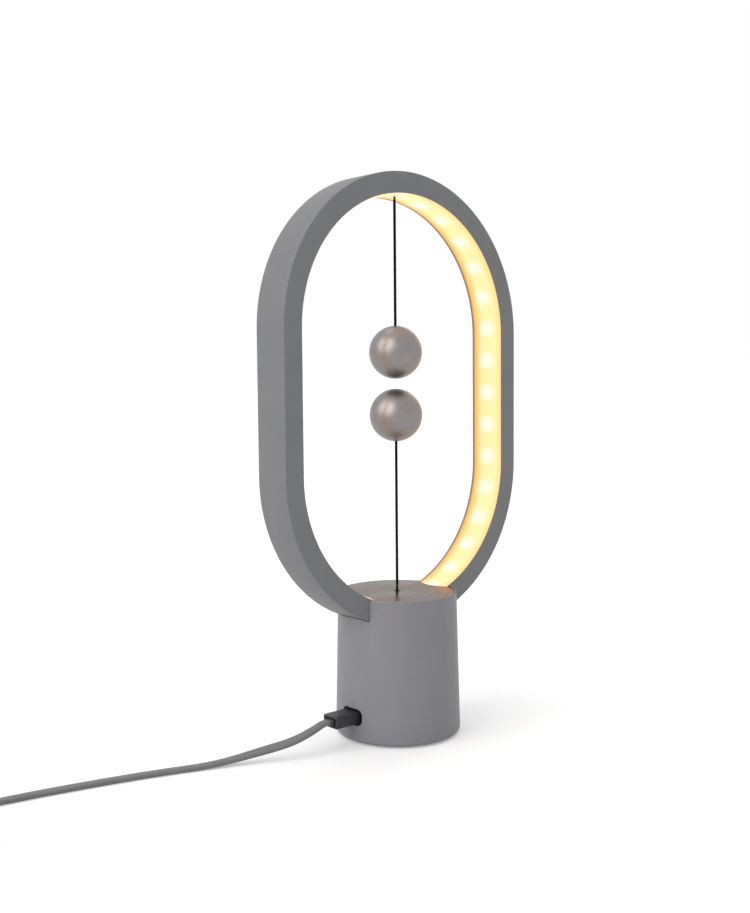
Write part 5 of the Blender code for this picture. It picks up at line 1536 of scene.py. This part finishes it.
class LAMP_OT_inner_finishes(Builder, bpy.types.Operator):
    """Give the pieces inside the lamp their finishes"""

    bl_idname = "lamp.inner_finishes"
    bl_label = "Inner finishes"

    def build(self, scene):
        for look, names in INNER_FINISHES.items():
            for name in names:
                materials = NODES[name].data.materials
                materials.clear()
                materials.append(finish(look))


class LAMP_OT_stage(Builder, bpy.types.Operator):
    """Add the floor, the soft lamps and the pale surroundings"""

    bl_idname = "lamp.stage"
    bl_label = "Stage"

    def build(self, scene):
        stage = scene.lamp_stage
        made = bmesh.new()
        bmesh.ops.create_grid(made, x_segments=1, y_segments=1, size=stage.floor)
        mesh = mesh_from("floor", made)
        mesh.materials.append(floor_surface(stage.floor_glow))
        add_object("floor", mesh)
        for name, towards, spread, light_tint in LIGHTS:
            obj = self.soft_light(name, towards, spread, getattr(stage, name), light_tint)
            obj.visible_diffuse = name != "shine"
        self.surroundings(scene, stage.sky)
        scene.view_settings.view_transform = "Standard"

    def soft_light(self, name, towards, spread, strength, light_tint):
        """Even light from one side, as from a wide screen far away."""
        light = bpy.data.lights.new(name + "_light", "SUN")
        light.angle = math.radians(spread)
        light.energy = strength
        light.color = light_tint
        obj = add_object(name + "_light", light)
        obj.rotation_euler = (-Vector(towards)).to_track_quat("-Z", "Y").to_euler()
        obj.location = towards
        return obj

    def surroundings(self, scene, strength):
        """White where the camera or a shiny surface sees them, and dimmer as light on the lamp."""
        world = bpy.data.worlds.new("pale_room")
        world.use_nodes = True
        background = world.node_tree.nodes["Background"]
        background.inputs["Color"].default_value = (1, 1, 1, 1)
        level = between_values(world, seen_directly(world), strength, 1.0, 0.0, 1.0)
        join(world, level, background.inputs["Strength"])
        scene.world = world


OPERATORS = (
    LAMP_OT_camera,
    LAMP_OT_cable,
    LAMP_OT_balance_cords,
    LAMP_OT_ring,
    LAMP_OT_light,
    LAMP_OT_base,
    LAMP_OT_top_disc,
    LAMP_OT_foot,
    LAMP_OT_balls,
    LAMP_OT_plug,
    LAMP_OT_inner_leads,
    LAMP_OT_inner_finishes,
    LAMP_OT_stage,
)

GROUPS = (
    (RingSizes, "lamp_ring"),
    (LightSizes, "lamp_light"),
    (BaseSizes, "lamp_base"),
    (BallSizes, "lamp_balls"),
    (CordSizes, "lamp_cords"),
    (PlugSizes, "lamp_plug"),
    (CableSizes, "lamp_cable"),
    (Colors, "lamp_colors"),
    (StageSizes, "lamp_stage"),
)


class LAMP_PT_sidebar(bpy.types.Panel):
    """The lamp's pieces, in the order in which they are built"""

    bl_idname = "LAMP_PT_sidebar"
    bl_label = "Balance lamp"
    bl_space_type = "VIEW_3D"
    bl_region_type = "UI"
    bl_category = "Lamp"

    def draw(self, context):
        for operator in OPERATORS:
            self.layout.operator(operator.bl_idname)


def register():
    for group, name in GROUPS:
        bpy.utils.register_class(group)
        setattr(bpy.types.Scene, name, PointerProperty(type=group))
    for operator in OPERATORS:
        bpy.utils.register_class(operator)
    bpy.utils.register_class(LAMP_PT_sidebar)


def unregister():
    bpy.utils.unregister_class(LAMP_PT_sidebar)
    for operator in reversed(OPERATORS):
        bpy.utils.unregister_class(operator)
    for group, name in reversed(GROUPS):
        delattr(bpy.types.Scene, name)
        bpy.utils.unregister_class(group)


def main():
    register()
    bpy.ops.lamp.camera()
    bpy.ops.lamp.cable()
    bpy.ops.lamp.balance_cords()
    bpy.ops.lamp.ring()
    bpy.ops.lamp.light()
    bpy.ops.lamp.base()
    bpy.ops.lamp.top_disc()
    bpy.ops.lamp.foot()
    bpy.ops.lamp.balls()
    bpy.ops.lamp.plug()
    bpy.ops.lamp.inner_leads()
    bpy.ops.lamp.inner_finishes()
    bpy.ops.lamp.stage()


if __name__ == "__main__":
    main()
